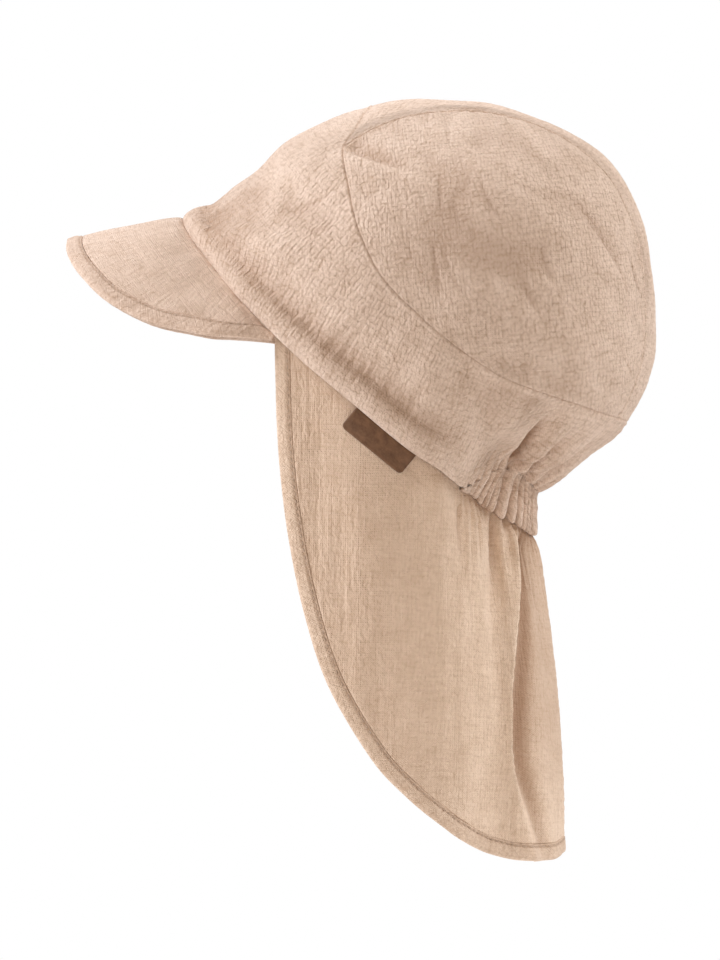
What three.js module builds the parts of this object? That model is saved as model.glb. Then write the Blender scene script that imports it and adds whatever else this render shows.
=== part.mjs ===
// A child's legionnaire sun cap: a three-piece hood on a tall front and side band, with a rolled rim,
// an elastic casing at the nape, a bound peak and a bound neck flap.
// Millimetres, +Z up, the peak towards -Y, the wearer's left ear towards +X.
// The origin is the top of the inside of the crown, where the cap sits on the head.
import * as THREE from "three";

// Crown: the driving sizes
const crownReach = 89; // from the middle of the crown straight back to the cloth
const crownHalfWidth = 78; // from the middle of the crown to the cloth over one ear
const crownFullness = 2.2; // 2 makes each cross section an ellipse, more makes it squarer
const crownCloth = 1.6;
const seamGap = 0.3;
const stripHalfWidth = 28; // half the top strip, over the back of the head
const stripFrontHalfWidth = 46; // half the top strip, at its front corners

// Rolled rim
const rollWidth = 12.5;
const rollSwell = 2.4;
const rollCloth = 3; // the hem is folded double

// Elastic casing and its gathers
const casingHeight = 18;
const casingCloth = 1.6;
const casingSwell = 0.8;
const ridgeHeight = 1.8;
const pullDepth = 4.5; // the deepest fold that the elastic pulls into the band above it

// Peak
const peakLength = 49;
const peakThickness = 3;
const peakCamber = 1.5;
const peakTuck = 0.8; // how far its upper face lies inside the roll's outer face

// Neck flap
const flapDrop = 134; // from the rim to the hem at the centre of the back
const flapCloth = 1.4;
const flapTuck = 5; // how far the flap runs up inside the rim
const flapFlare = 13; // how far the hem stands behind the rim
const flapFoldDepth = 4;

// Bias binding on the peak and on the flap
const bindingWidth = 7;
const bindingSwell = 0.5; // how far it stands proud of the cloth on each face

// Leather tab under the rim
const tabLength = 31;
const tabHeight = 9.5;
const tabThickness = 1.2;

// The crown's outline from the side: how far it reaches from its middle at each pitch, where 0 is straight back,
// 90 up and 180 ahead. Below the rim the outline isn't cloth: there it only sets how wide the rim is.
// Reach is a share of crownReach.
const crownOutline = [
  { pitch: 0, reach: 1.0 },
  { pitch: 22, reach: 1.004 },
  { pitch: 35, reach: 1.007 },
  { pitch: 52, reach: 0.974 },
  { pitch: 66, reach: 0.939 },
  { pitch: 87, reach: 0.916 },
  { pitch: 108, reach: 0.936 },
  { pitch: 122, reach: 0.962 },
  { pitch: 136, reach: 1.005 },
  { pitch: 145, reach: 1.02 },
  { pitch: 152, reach: 1.07 },
  { pitch: 157, reach: 1.125 },
  { pitch: 163, reach: 1.224 },
  { pitch: 173, reach: 1.17 },
  { pitch: 192, reach: 1.19 },
  { pitch: 220, reach: 1.27 },
  { pitch: 262, reach: 1.49 },
  { pitch: 277, reach: 1.28 },
  { pitch: 283, reach: 1.12 },
  { pitch: 289, reach: 1.0 },
  { pitch: 293, reach: 0.97 },
  { pitch: 298, reach: 1.0 },
  { pitch: 314, reach: 1.006 },
  { pitch: 327, reach: 1.04 },
  { pitch: 342, reach: 1.03 },
];
const fullTurn = 360;

// The band, station by station from the centre of the front to the centre of the back, on the wearer's left.
// The edge is the rim, or the casing's top where there is a casing; the seam joins the band to the hood.
// Side is a share of crownHalfWidth, back and up of crownReach, all from the middle of the crown.
// Columns is how many columns of facets run from this station to the next.
const frontCorner = stripFrontHalfWidth / crownHalfWidth;
const backCorner = stripHalfWidth / crownHalfWidth;
const bandStations = [
  { edge: { side: 0, back: -1.17, up: 0.362 }, seam: { side: 0, back: -0.294, up: 0.886 }, columns: 3 },
  {
    edge: { side: 0.355, back: -1.114, up: 0.252 },
    seam: { side: 0.79 * frontCorner, back: -0.376, up: 0.776 },
    columns: 3,
  },
  { edge: { side: 0.536, back: -1.017, up: 0.118 }, seam: { side: frontCorner, back: -0.433, up: 0.684 }, columns: 2 },
  { edge: { side: 0.7, back: -0.888, up: -0.035 }, seam: { side: 0.78, back: -0.413, up: 0.518 }, columns: 2 },
  { edge: { side: 0.795, back: -0.764, up: -0.167 }, seam: { side: 0.915, back: -0.358, up: 0.288 }, columns: 2 },
  { edge: { side: 0.869, back: -0.589, up: -0.329 }, seam: { side: 0.985, back: -0.253, up: 0.081 }, columns: 2 },
  { edge: { side: 0.91, back: -0.367, up: -0.513 }, seam: { side: 0.997, back: -0.096, up: -0.081 }, columns: 2 },
  { edge: { side: 0.905, back: -0.151, up: -0.693 }, seam: { side: 0.973, back: 0.102, up: -0.246 }, columns: 2 },
  { edge: { side: 0.856, back: 0.01, up: -0.794 }, seam: { side: 0.912, back: 0.287, up: -0.366 }, columns: 2 },
  { edge: { side: 0.764, back: 0.116, up: -0.873 }, seam: { side: 0.826, back: 0.448, up: -0.43 }, columns: 4 },
  { edge: { side: 0.662, back: 0.227, up: -0.808 }, seam: { side: 0.758, back: 0.545, up: -0.463 }, columns: 4 },
  { edge: { side: 0.53, back: 0.315, up: -0.785 }, seam: { side: 0.64, back: 0.66, up: -0.5 }, columns: 4 },
  { edge: { side: 0.37, back: 0.4, up: -0.83 }, seam: { side: backCorner, back: 0.821, up: -0.551 }, columns: 6 },
  { edge: { side: 0.19, back: 0.447, up: -0.87 }, seam: { side: 0.5 * backCorner, back: 0.862, up: -0.565 }, columns: 6 },
  { edge: { side: 0, back: 0.457, up: -0.878 }, seam: { side: 0, back: 0.876, up: -0.569 }, columns: 0 },
];
const stripFrontStation = 2;
const casingStation = 9;
const stripBackStation = 12;
const lastStation = bandStations.length - 1;

// Up the band from its edge: the roll, with distance as a share of rollWidth and swell of rollSwell,
// then the flat of the band, as shares of the height that is left.
const rollProfile = [
  { distance: 0, swell: 0.15, doubled: 1 },
  { distance: 0.2, swell: 0.8, doubled: 1 },
  { distance: 0.45, swell: 1.0, doubled: 1 },
  { distance: 0.72, swell: 0.5, doubled: 1 },
  { distance: 1.0, swell: -0.4, doubled: 0 },
  { distance: 1.5, swell: 0, doubled: 0 },
];
const rollFade = { from: 7.2, to: 8.6 }; // the stations between which the roll dies away
const flatShares = [0.4, 0.7, 1];

// The top strip's edge over the head, from its front corner to its back corner; side is a share of stripHalfWidth.
const stripEdge = [
  { pitch: 112, side: 1.5 },
  { pitch: 101, side: 1.34 },
  { pitch: 87, side: 1.16 },
  { pitch: 75, side: 1.03 },
  { pitch: 60, side: 0.97 },
  { pitch: 40, side: 1.0 },
  { pitch: 20, side: 1.03 },
  { pitch: 0, side: 1.04 },
  { pitch: -18, side: 1.03 },
];
const sidePanelRows = 7;

// A crease that runs back from the strip's front corner, across the side panel.
const cornerCrease = { depth: 2.2, halfWidth: 9, length: 34 };

// The casing's height as a share of casingHeight, and how far its lower edge lies ahead, as a share of that height.
const casingShape = [
  { station: 9, height: 0.06, lean: 0.6 },
  { station: 9.5, height: 0.27, lean: 0.6 },
  { station: 10, height: 0.54, lean: 0.56 },
  { station: 10.6, height: 0.82, lean: 0.45 },
  { station: 11.2, height: 0.96, lean: 0.38 },
  { station: 11.8, height: 1.0, lean: 0.2 },
  { station: 12.5, height: 1.02, lean: 0.12 },
  { station: 14, height: 0.98, lean: 0.07 },
];
const casingRows = 4;

// Folds that the elastic pulls into the band: half width in stations, depth as a share of pullDepth,
// and the share of the band's height at which each one dies away.
const pullFolds = [
  { station: 11.35, width: 0.3, depth: 1.0, fades: 0.75 },
  { station: 12.35, width: 0.3, depth: 0.8, fades: 0.6 },
  { station: 13.3, width: 0.35, depth: 0.8, fades: 0.7 },
];

// The peak's outer edge from the rim, in shares of peakLength.
const peakShape = [
  { station: 0, aside: 0, ahead: 0.988, fall: 0.167 },
  { station: 0.5, aside: 0.169, ahead: 0.982, fall: 0.206 },
  { station: 1, aside: 0.253, ahead: 0.931, fall: 0.271 },
  { station: 1.5, aside: 0.316, ahead: 0.816, fall: 0.353 },
  { station: 2, aside: 0.331, ahead: 0.571, fall: 0.402 },
  { station: 2.6, aside: 0.247, ahead: 0.361, fall: 0.32 },
  { station: 3.3, aside: 0.161, ahead: 0.233, fall: 0.18 },
  { station: 3.85, aside: 0.061, ahead: 0.076, fall: 0.086 },
];
const peakEnd = 3.85;
const peakColumns = 30;
const peakRows = 4;

// The flap's free edge, from the temple down the front and round the hem to the centre of the back.
// Forward is a share of the rim's length from the centre of the back to the temple, drop of flapDrop below the rim.
const flapEdge = [
  { forward: 1.0, drop: 0.0 },
  { forward: 0.998, drop: 0.12 },
  { forward: 0.993, drop: 0.28 },
  { forward: 0.981, drop: 0.428 },
  { forward: 0.956, drop: 0.59 },
  { forward: 0.912, drop: 0.763 },
  { forward: 0.842, drop: 0.921 },
  { forward: 0.722, drop: 1.03 },
  { forward: 0.63, drop: 1.054 },
  { forward: 0.55, drop: 1.068 },
  { forward: 0.44, drop: 1.06 },
  { forward: 0.342, drop: 1.058 },
  { forward: 0.242, drop: 1.036 },
  { forward: 0.13, drop: 1.0 },
  { forward: 0, drop: 0.975 },
];
const flapStart = 3.95; // the station where the flap's front edge meets the rim
const flapFrontColumns = 20; // columns of facets from the temple to the casing
const flapRows = 6; // rows of facets under the rim

// Which share of the free edge, from the temple, each column runs down to; forward is as above.
const flapFan = [
  { forward: 0, share: 1 },
  { forward: 0.28, share: 0.84 },
  { forward: 0.5, share: 0.7 },
  { forward: 0.8, share: 0.35 },
  { forward: 1, share: 0.03 },
];

// Soft folds that hang from the gathers: half width in stations, lift as a share of flapFoldDepth, and the depth
// below the rim, as a share of flapDrop, at which each is fully grown.
const flapFolds = [
  { station: 9.3, width: 0.8, lift: 0.45, grown: 0.7 },
  { station: 11.1, width: 0.55, lift: 0.9, grown: 0.45 },
  { station: 12.05, width: 0.4, lift: -1.1, grown: 0.2 },
  { station: 12.9, width: 0.5, lift: 0.7, grown: 0.35 },
];
const flareShape = [
  { station: 4, share: 0 },
  { station: 8, share: 0.05 },
  { station: 10, share: 0.3 },
  { station: 12, share: 0.8 },
  { station: 14, share: 1 },
];
const gatherFade = 45; // how far below the rim the fine gathers die away

// The leather tab: the station of its front corner, and how far it hangs under the rim.
const tabStation = 5.95;
const tabGap = 0.8;

const colours = { crown: 0xd8b79c, peak: 0xe2c6b0, flap: 0xcba88a, binding: 0xc8a384, tab: 0x7a5236 };

// The value of a table's column at a key, smooth through every row. Past the ends the end rows hold,
// or with a period the table comes round again.
function valueAt(rows, key, column, at, period = 0) {
  const count = rows.length;
  if (!period && at <= rows[0][key]) return rows[0][column];
  if (!period && at >= rows[count - 1][key]) return rows[count - 1][column];
  const row = (i) => {
    const held = period ? ((i % count) + count) % count : Math.min(Math.max(i, 0), count - 1);
    return { key: rows[held][key] + Math.floor(i / count) * period, value: rows[held][column] };
  };
  let i = -1;
  while (row(i + 1).key <= at) i += 1;
  const low = row(i);
  const high = row(i + 1);
  const span = high.key - low.key;
  const slope = (a, b) => (b.key > a.key ? ((b.value - a.value) / (b.key - a.key)) * span : 0);
  const t = (at - low.key) / span;
  const leave = slope(row(i - 1), high) * (t ** 3 - 2 * t ** 2 + t);
  const arrive = slope(low, row(i + 2)) * (t ** 3 - t ** 2);
  return low.value + (high.value - low.value) * (3 * t ** 2 - 2 * t ** 3) + leave + arrive;
}

const ease = THREE.MathUtils.smoothstep;
const bell = (offset) => Math.exp(-offset * offset);
const mirrored = (point) => new THREE.Vector3(-point.x, point.y, point.z);
const vector = (x, y, z) => new THREE.Vector3(x, y, z);
const steps = (count) => Array.from({ length: count + 1 }, (_, i) => i / count);

// The crown's surface, seen from its middle, which lies straight under the origin.
const outlineAt = (pitch) => crownReach * valueAt(crownOutline, "pitch", "reach", (pitch + fullTurn) % fullTurn, fullTurn);
const middle = vector(0, 0, crownCloth - outlineAt(90));

function reachAlong(direction) {
  const pitch = THREE.MathUtils.radToDeg(Math.atan2(direction.z, direction.y));
  const level = (Math.hypot(direction.y, direction.z) / outlineAt(pitch)) ** crownFullness;
  const sideways = (Math.abs(direction.x) / crownHalfWidth) ** crownFullness;
  return (level + sideways) ** (-1 / crownFullness);
}

// The spot of the crown's outer face that lies in line with a point, and the way out of the cloth there.
function onCrown(from) {
  const direction = from.clone().sub(middle).normalize();
  const place = direction.multiplyScalar(reachAlong(direction));
  const level = (x, y, z) => 1 / reachAlong(place.clone().add(vector(x, y, z)));
  const near = 0.05;
  const out = vector(
    level(near, 0, 0) - level(-near, 0, 0),
    level(0, near, 0) - level(0, -near, 0),
    level(0, 0, near) - level(0, 0, -near),
  );
  return { place: place.add(middle), out: out.normalize() };
}

// A line right round the cap through the stations' points and their mirror images: minus is the wearer's right.
function ringLine(points) {
  const line = new THREE.CatmullRomCurve3([...points, ...points.slice(1, -1).reverse().map(mirrored)], true, "centripetal");
  return (station) => {
    const point = line.getPoint(Math.abs(station) / (2 * lastStation));
    if (Math.abs(station) % lastStation === 0) point.x = 0;
    return onCrown(station < 0 ? mirrored(point) : point).place;
  };
}

const crownSpot = ({ side, back, up }) =>
  onCrown(vector(side * crownHalfWidth, back * crownReach, up * crownReach).add(middle)).place;
const bandEdge = ringLine(bandStations.map(({ edge }) => crownSpot(edge)));
const bandSeam = ringLine(bandStations.map(({ seam }) => crownSpot(seam)));

// The stations of the columns on the wearer's left, front to back.
const leftColumns = bandStations.flatMap(({ columns }, station) =>
  Array.from({ length: columns }, (_, i) => station + i / columns),
);
leftColumns.push(lastStation);

// The same stations on both sides, from the centre of the back by the wearer's right and the front.
const bothSides = (stations) => [...stations.slice(1).reverse().map((station) => -station), ...stations];

// 1 on a gather's ridge and -1 in the valley beside it, all along the casing.
const gatherTurns = leftColumns
  .filter((station) => station >= casingStation)
  .map((station, turn) => ({ station, turn }));
const gatherAt = (station) => {
  const gathered = ease(Math.abs(station), casingStation, casingStation + 1);
  return gathered * Math.cos(Math.PI * valueAt(gatherTurns, "station", "turn", Math.abs(station)));
};

// A closed wall between an outer and an inner grid of points, each [row][column]. A ring's columns join up.
function closedWall(outer, inner, ring) {
  const places = [];
  const known = new Map();
  const faces = [];
  const index = (point) => {
    const key = [point.x, point.y, point.z].map((value) => Math.round(value * 1000)).join();
    if (!known.has(key)) known.set(key, places.push(point) - 1);
    return known.get(key);
  };
  const quad = (...corners) => {
    const [a, b, c, d] = corners.map(index);
    const short = places[a].distanceTo(places[c]) <= places[b].distanceTo(places[d]);
    const pair = short
      ? [
          [a, b, c],
          [a, c, d],
        ]
      : [
          [b, c, d],
          [b, d, a],
        ];
    faces.push(...pair.filter(([p, q, r]) => p !== q && q !== r && r !== p));
  };
  const lastRow = outer.length - 1;
  const columns = outer[0].length;
  const lastColumn = columns - 1;
  for (let column = 0; column < (ring ? columns : lastColumn); column += 1) {
    const beside = (column + 1) % columns;
    for (let row = 0; row < lastRow; row += 1) {
      quad(outer[row][column], outer[row][beside], outer[row + 1][beside], outer[row + 1][column]);
      quad(inner[row][column], inner[row + 1][column], inner[row + 1][beside], inner[row][beside]);
    }
    quad(outer[0][beside], outer[0][column], inner[0][column], inner[0][beside]);
    quad(outer[lastRow][column], outer[lastRow][beside], inner[lastRow][beside], inner[lastRow][column]);
  }
  for (let row = 0; row < (ring ? 0 : lastRow); row += 1) {
    quad(outer[row][0], outer[row + 1][0], inner[row + 1][0], inner[row][0]);
    quad(outer[row + 1][lastColumn], outer[row][lastColumn], inner[row][lastColumn], inner[row + 1][lastColumn]);
  }
  const volume = faces.reduce((sum, [a, b, c]) => sum + places[a].dot(places[b].clone().cross(places[c])), 0);
  const facing = volume < 0 ? faces.map(([a, b, c]) => [a, c, b]) : faces;
  const geometry = new THREE.BufferGeometry().setFromPoints(places).setIndex(facing.flat());
  geometry.computeVertexNormals();
  return geometry;
}

// A wall through a grid of spots: each has a place, the way out, how far the outer face stands off the place,
// and the cloth's thickness.
function wall(grid, ring = false) {
  const face = (depth) =>
    grid.map((row) =>
      row.map(({ place, out, lift = 0, thickness }) => place.clone().addScaledVector(out, lift - depth * thickness)),
    );
  return closedWall(face(0), face(1), ring);
}

// Swaps a grid's rows and columns.
const turned = (grid) => grid[0].map((_, row) => grid.map((column) => column[row]));

// The point a distance along from one point towards another.
const towards = (from, to, distance) => from.clone().lerp(to, distance / from.distanceTo(to));

// Draws a grid of points in by half the seam gap, all round its border.
function drawnIn(grid) {
  const ends = (line) => {
    const last = line.length - 1;
    const drawn = line.map((point) => point.clone());
    drawn[0] = towards(line[0], line[1], seamGap / 2);
    drawn[last] = towards(line[last], line[last - 1], seamGap / 2);
    return drawn;
  };
  return turned(turned(grid.map(ends)).map(ends));
}

// The band above the rim and the casing
function pulledIn(station, share) {
  const fold = ({ station: at, width, depth, fades }) =>
    depth * bell((Math.abs(station) - at) / width) * (1 - ease(share, 0.1, fades));
  return -pullDepth * ease(share, -0.08, 0.12) * pullFolds.reduce((sum, row) => sum + fold(row), 0);
}

const bandLift = (station, share) =>
  0.5 * ridgeHeight * gatherAt(station) * (1 - ease(share, 0, 0.55)) + pulledIn(station, share);

function bandColumn(station) {
  const edge = bandEdge(station);
  const seam = bandSeam(station);
  const height = edge.distanceTo(seam);
  const rolled = 1 - ease(Math.abs(station), rollFade.from, rollFade.to);
  const roll = rollProfile.map(({ distance, swell, doubled }) => ({
    distance: seamGap / 2 + distance * rollWidth,
    swell: rolled * swell * rollSwell,
    thickness: crownCloth + rolled * doubled * (rollCloth - crownCloth),
  }));
  const start = roll.at(-1).distance;
  const flat = flatShares.map((share) => ({
    distance: start + share * (height - seamGap / 2 - start),
    swell: 0,
    thickness: crownCloth,
  }));
  return [...roll, ...flat].map(({ distance, swell, thickness }) => ({
    ...onCrown(towards(edge, seam, distance)),
    lift: swell + bandLift(station, distance / height),
    thickness,
  }));
}

// The hood's three pieces
const stripSide = new THREE.CatmullRomCurve3(
  [
    bandSeam(stripFrontStation),
    ...stripEdge.map(({ pitch, side }) => {
      const angle = THREE.MathUtils.degToRad(pitch);
      const aside = side * stripHalfWidth;
      const reach = outlineAt(pitch) * (1 - (aside / crownHalfWidth) ** crownFullness) ** (1 / crownFullness);
      return vector(aside, reach * Math.cos(angle), reach * Math.sin(angle)).add(middle);
    }),
    bandSeam(stripBackStation),
  ],
  false,
  "centripetal",
);

// The stations along the band's seam that the side panel and the strip's side share.
const tip = 0.1;
const hoodStations = [
  stripFrontStation + tip,
  ...leftColumns.filter(
    (station, i) =>
      station > stripFrontStation && station < stripBackStation && (station <= casingStation || i % 2 === 0),
  ),
  stripBackStation - tip,
];
const hoodShares = [stripFrontStation, ...hoodStations, stripBackStation].map((station, i, all) =>
  all
    .slice(1, i + 1)
    .reduce((length, next, before) => length + bandSeam(next).distanceTo(bandSeam(all[before])), 0),
);
const sideLine = [stripFrontStation, ...hoodStations, stripBackStation].map((_, i) =>
  onCrown(stripSide.getPointAt(hoodShares[i] / hoodShares.at(-1))).place,
);

const crownSpots = (grid, liftAt = () => 0) =>
  grid.map((row) => row.map((point) => ({ ...onCrown(point), lift: liftAt(point), thickness: crownCloth })));

function sidePanel(hand) {
  const columns = hoodStations.map((station, i) =>
    steps(sidePanelRows).map((share) => bandSeam(station).lerp(sideLine[i + 1], share)),
  );
  const corner = bandSeam(stripFrontStation);
  const creased = (point) => {
    const back = point.y - corner.y;
    const aside = Math.abs(Math.abs(point.x) - corner.x - 0.35 * back) / cornerCrease.halfWidth;
    return -cornerCrease.depth * bell(aside) * ease(back, 0, 8) * (1 - ease(back, 8, cornerCrease.length));
  };
  const grid = drawnIn(turned(columns));
  return wall(crownSpots(hand < 0 ? grid.map((row) => row.map(mirrored)) : grid, creased));
}

function topStrip() {
  const halfColumns = leftColumns.filter((station) => station <= stripFrontStation);
  const backColumns = leftColumns.filter((station, i) => station >= stripBackStation && i % 2 === 0).reverse();
  const across = bothSides(halfColumns).map((station) => station / stripFrontStation);
  const front = bothSides(halfColumns).map(bandSeam);
  const back = [...backColumns.slice(1).reverse().map((station) => mirrored(bandSeam(station))), ...backColumns.map(bandSeam)];
  const straight = (side) => across.map((share) => mirrored(side).lerp(side, (share + 1) / 2));
  const frontBow = straight(front.at(-1)).map((point, i) => front[i].clone().sub(point));
  const backBow = straight(back.at(-1)).map((point, i) => back[i].clone().sub(point));
  const rows = sideLine.map((side, i) => {
    const share = hoodShares[i] / hoodShares.at(-1);
    return straight(side).map((point, column) =>
      point.addScaledVector(frontBow[column], 1 - share).addScaledVector(backBow[column], share),
    );
  });
  return wall(crownSpots(drawnIn(rows)));
}

// The elastic casing hangs from the band's edge.
function casingSpot(station, share) {
  const drop = casingHeight * valueAt(casingShape, "station", "height", Math.abs(station));
  const lean = drop * valueAt(casingShape, "station", "lean", Math.abs(station));
  const edge = onCrown(bandEdge(station));
  const top = edge.place.clone().addScaledVector(edge.out, bandLift(station, 0) * (1 - ease(share, 0, 0.5)));
  return top.add(vector(0, -lean * share, -drop * share));
}

function casingColumn(station) {
  const near = 0.05;
  const along = casingSpot(station + near, 1).sub(casingSpot(station - near, 1));
  const down = casingSpot(station, 1).sub(casingSpot(station, 0.5));
  const out = down.cross(along).normalize();
  const start = seamGap / casingSpot(station, 0).distanceTo(casingSpot(station, 1));
  return steps(casingRows).map((row) => {
    const share = THREE.MathUtils.lerp(start, 1, row);
    const swell = casingSwell * Math.sin(Math.PI * row);
    return {
      place: casingSpot(station, share),
      out,
      lift: swell + 0.5 * ridgeHeight * gatherAt(station) * ease(row, 0, 0.4),
      thickness: casingCloth,
    };
  });
}

function casing() {
  const left = leftColumns.filter((station) => station >= casingStation).map(casingColumn);
  const right = left.slice(0, -1).reverse();
  const opposite = (spot) => ({ ...spot, place: mirrored(spot.place), out: mirrored(spot.out) });
  return wall(turned([...left, ...right.map((column) => column.map(opposite))]));
}

// The peak, from the rim's lower face to its outer edge
function peakLine(station) {
  const at = Math.abs(station);
  const side = station < 0 ? -1 : 1;
  const edge = onCrown(bandEdge(station));
  const down = edge.place.clone().sub(bandSeam(station)).normalize();
  const offset = (column) => peakLength * valueAt(peakShape, "station", column, at);
  const root = edge.place.clone().addScaledVector(down, seamGap).addScaledVector(edge.out, -peakTuck);
  const outer = edge.place.clone().add(vector(side * offset("aside"), -offset("ahead"), -offset("fall")));
  return { root, outer, length: root.distanceTo(outer) };
}

function peakSpot(station, share, thickness) {
  const place = (at, part) => {
    const { root, outer } = peakLine(at);
    return root.lerp(outer, part).add(vector(0, 0, peakCamber * 4 * part * (1 - part)));
  };
  const near = 0.02;
  const along = place(station + near, share).sub(place(station - near, share));
  const ahead = place(station, share + near).sub(place(station, share - near));
  const out = ahead.cross(along).normalize();
  return { place: place(station, share), out: out.z < 0 ? out.negate() : out, thickness };
}

const peakStations = steps(peakColumns).map((share) => THREE.MathUtils.lerp(-peakEnd, peakEnd, share));
const boundShare = (station) => Math.max(0, 1 - bindingWidth / peakLine(station).length);

function peak() {
  const columns = peakStations.slice(1, -1).map((station) => {
    const reach = boundShare(station) - seamGap / peakLine(station).length;
    return steps(peakRows).map((share) => peakSpot(station, reach * share, peakThickness));
  });
  return wall(turned(columns));
}

// Bias binding over a cloth's edge: full in the middle, rounded off towards its sides.
const bindingProfile = [
  { across: 0, swell: 0.6 },
  { across: 0.5, swell: 1 },
  { across: 1, swell: 0 },
];

function peakBinding() {
  const columns = peakStations.map((station) =>
    bindingProfile.map(({ across, swell }) => {
      const share = THREE.MathUtils.lerp(boundShare(station), 1, across);
      const proud = bindingSwell * swell;
      return { ...peakSpot(station, share, peakThickness + 2 * proud), lift: proud };
    }),
  );
  return wall(turned(columns));
}

// The neck flap hangs from a line inside the rim. Along is the distance round that line from the centre of the back.
const hangGap = seamGap + bindingSwell;
const hangLine = steps(48).map((share) => {
  const station = THREE.MathUtils.lerp(lastStation, flapStart, share);
  const foot = station < casingStation ? bandColumn(station)[0] : casingColumn(station).at(-1);
  const depth = station < casingStation ? foot.thickness - foot.lift : foot.thickness;
  const inside = foot.place.clone().addScaledVector(foot.out, -depth);
  return { station, x: inside.x, y: inside.y, rim: foot.place.z, along: 0 };
});
hangLine.slice(1).forEach((spot, before) => {
  spot.along = hangLine[before].along + Math.hypot(spot.x - hangLine[before].x, spot.y - hangLine[before].y);
});
const hangLength = hangLine.at(-1).along;
const hangAt = (column, along) => valueAt(hangLine, "along", column, Math.abs(along));
const alongAt = (station) => valueAt([...hangLine].reverse(), "station", "along", station);

// A point of the flap's outer face, at a distance along and a height.
function flapPlace(along, height) {
  const near = 0.5;
  const x = (at) => Math.sign(at) * hangAt("x", at);
  const out = vector(hangAt("y", along - near) - hangAt("y", along + near), x(along + near) - x(along - near), 0);
  const station = hangAt("station", along);
  const drop = Math.max(0, hangAt("rim", along) - height);
  const share = drop / flapDrop;
  const flare = flapFlare * valueAt(flareShape, "station", "share", station) * (1 - Math.max(0, 1 - share) ** 1.8);
  const folds = flapFolds.reduce(
    (sum, { station: at, width, lift, grown }) => sum + lift * bell((station - at) / width) * ease(share, 0, grown),
    0,
  );
  const offset = flare + flapFoldDepth * folds - hangGap;
  return vector(x(along), hangAt("y", along), height).addScaledVector(out.normalize(), offset);
}

function flapSpot({ x: along, y: height }, thickness, lift = 0) {
  const near = 0.4;
  const sideways = flapPlace(along + near, height).sub(flapPlace(along - near, height));
  const up = flapPlace(along, height + near).sub(flapPlace(along, height - near));
  return { place: flapPlace(along, height), out: up.cross(sideways).normalize(), lift, thickness };
}

// The free edge laid flat, from the left temple round the hem to the right temple; x is along and y is the height.
const flat = (along, height) => new THREE.Vector2(along, height);
const leftEdge = flapEdge.map(({ forward, drop }) => {
  const along = forward * hangLength;
  return flat(along, hangAt("rim", along) - drop * flapDrop);
});
const freeEdge = new THREE.SplineCurve([...leftEdge, ...leftEdge.slice(0, -1).reverse().map(({ x, y }) => flat(-x, y))]);

// A point of the flat cloth, a distance in from the free edge.
function inFromEdge(share, distance) {
  const along = freeEdge.getTangentAt(share);
  return freeEdge.getPointAt(share).add(flat(along.y, -along.x).multiplyScalar(distance));
}

const bindingReach = bindingWidth + 1.5 * seamGap;
const flapAlongs = [
  ...steps(flapFrontColumns).map((share) =>
    THREE.MathUtils.lerp(hangLength - bindingReach, alongAt(casingStation), share),
  ),
  ...leftColumns.filter((station) => station > casingStation).map(alongAt),
];
const edgeShareAt = (along) => valueAt(flapFan, "forward", "share", along / (hangLength - bindingReach));

function flapColumn(along) {
  const side = along < 0 ? -1 : 1;
  const station = hangAt("station", along);
  const top = flat(Math.abs(along), hangAt("rim", along) + flapTuck);
  const low = inFromEdge(edgeShareAt(Math.abs(along)) / 2, bindingReach);
  const hidden = Math.min(0.4, (flapTuck + 1) / top.distanceTo(low));
  return [0, ...steps(flapRows).map((share) => THREE.MathUtils.lerp(hidden, 1, share))].map((share) => {
    const spot = top.clone().lerp(low, share);
    const drop = hangAt("rim", spot.x) - spot.y;
    const gathers = 0.5 * ridgeHeight * gatherAt(station) * (1 - ease(drop, 0, gatherFade));
    return flapSpot(flat(side * spot.x, spot.y), flapCloth, gathers);
  });
}

const neckFlap = () => wall(turned(bothSides([...flapAlongs].reverse()).map(flapColumn)));

function flapBinding() {
  const left = [0, ...flapAlongs.map((along) => edgeShareAt(along) / 2)];
  const shares = [...left, ...left.slice(0, -1).reverse().map((share) => 1 - share)];
  const columns = shares.map((share) =>
    bindingProfile.map(({ across, swell }) => {
      const proud = bindingSwell * swell;
      return flapSpot(inFromEdge(share, (1 - across) * bindingWidth), flapCloth + 2 * proud, proud);
    }),
  );
  return wall(turned(columns));
}

// The leather tab lies on the flap, along the rim.
function tab() {
  const [front, back] = [alongAt(tabStation), alongAt(tabStation) - 0.78 * tabLength];
  const start = flat(front, hangAt("rim", front));
  const along = flat(back, hangAt("rim", back)).sub(start).normalize();
  const down = flat(-along.y, along.x);
  const spot = (length, height) =>
    start
      .clone()
      .addScaledVector(along, length * tabLength)
      .addScaledVector(down, tabGap + height * tabHeight);
  const lift = seamGap + tabThickness;
  return wall(steps(2).map((height) => steps(5).map((length) => flapSpot(spot(length, height), tabThickness, lift))));
}

const cap = new THREE.Group();
export default cap;

function add(name, geometry, color, roughness = 0.95) {
  const mesh = new THREE.Mesh(geometry, new THREE.MeshStandardMaterial({ color, roughness, metalness: 0 }));
  mesh.name = name;
  cap.add(mesh);
}

const ringColumns = bothSides(leftColumns).slice(1);
add("crown_band", wall(turned(ringColumns.map(bandColumn)), true), colours.crown);
add("side_panel_left", sidePanel(1), colours.crown);
add("side_panel_right", sidePanel(-1), colours.crown);
add("top_strip", topStrip(), colours.crown);
add("elastic_casing", casing(), colours.crown);
add("peak", peak(), colours.peak);
add("peak_binding", peakBinding(), colours.binding);
add("neck_flap", neckFlap(), colours.flap);
add("flap_binding", flapBinding(), colours.binding);
add("label", tab(), colours.tab, 0.7);
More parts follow.
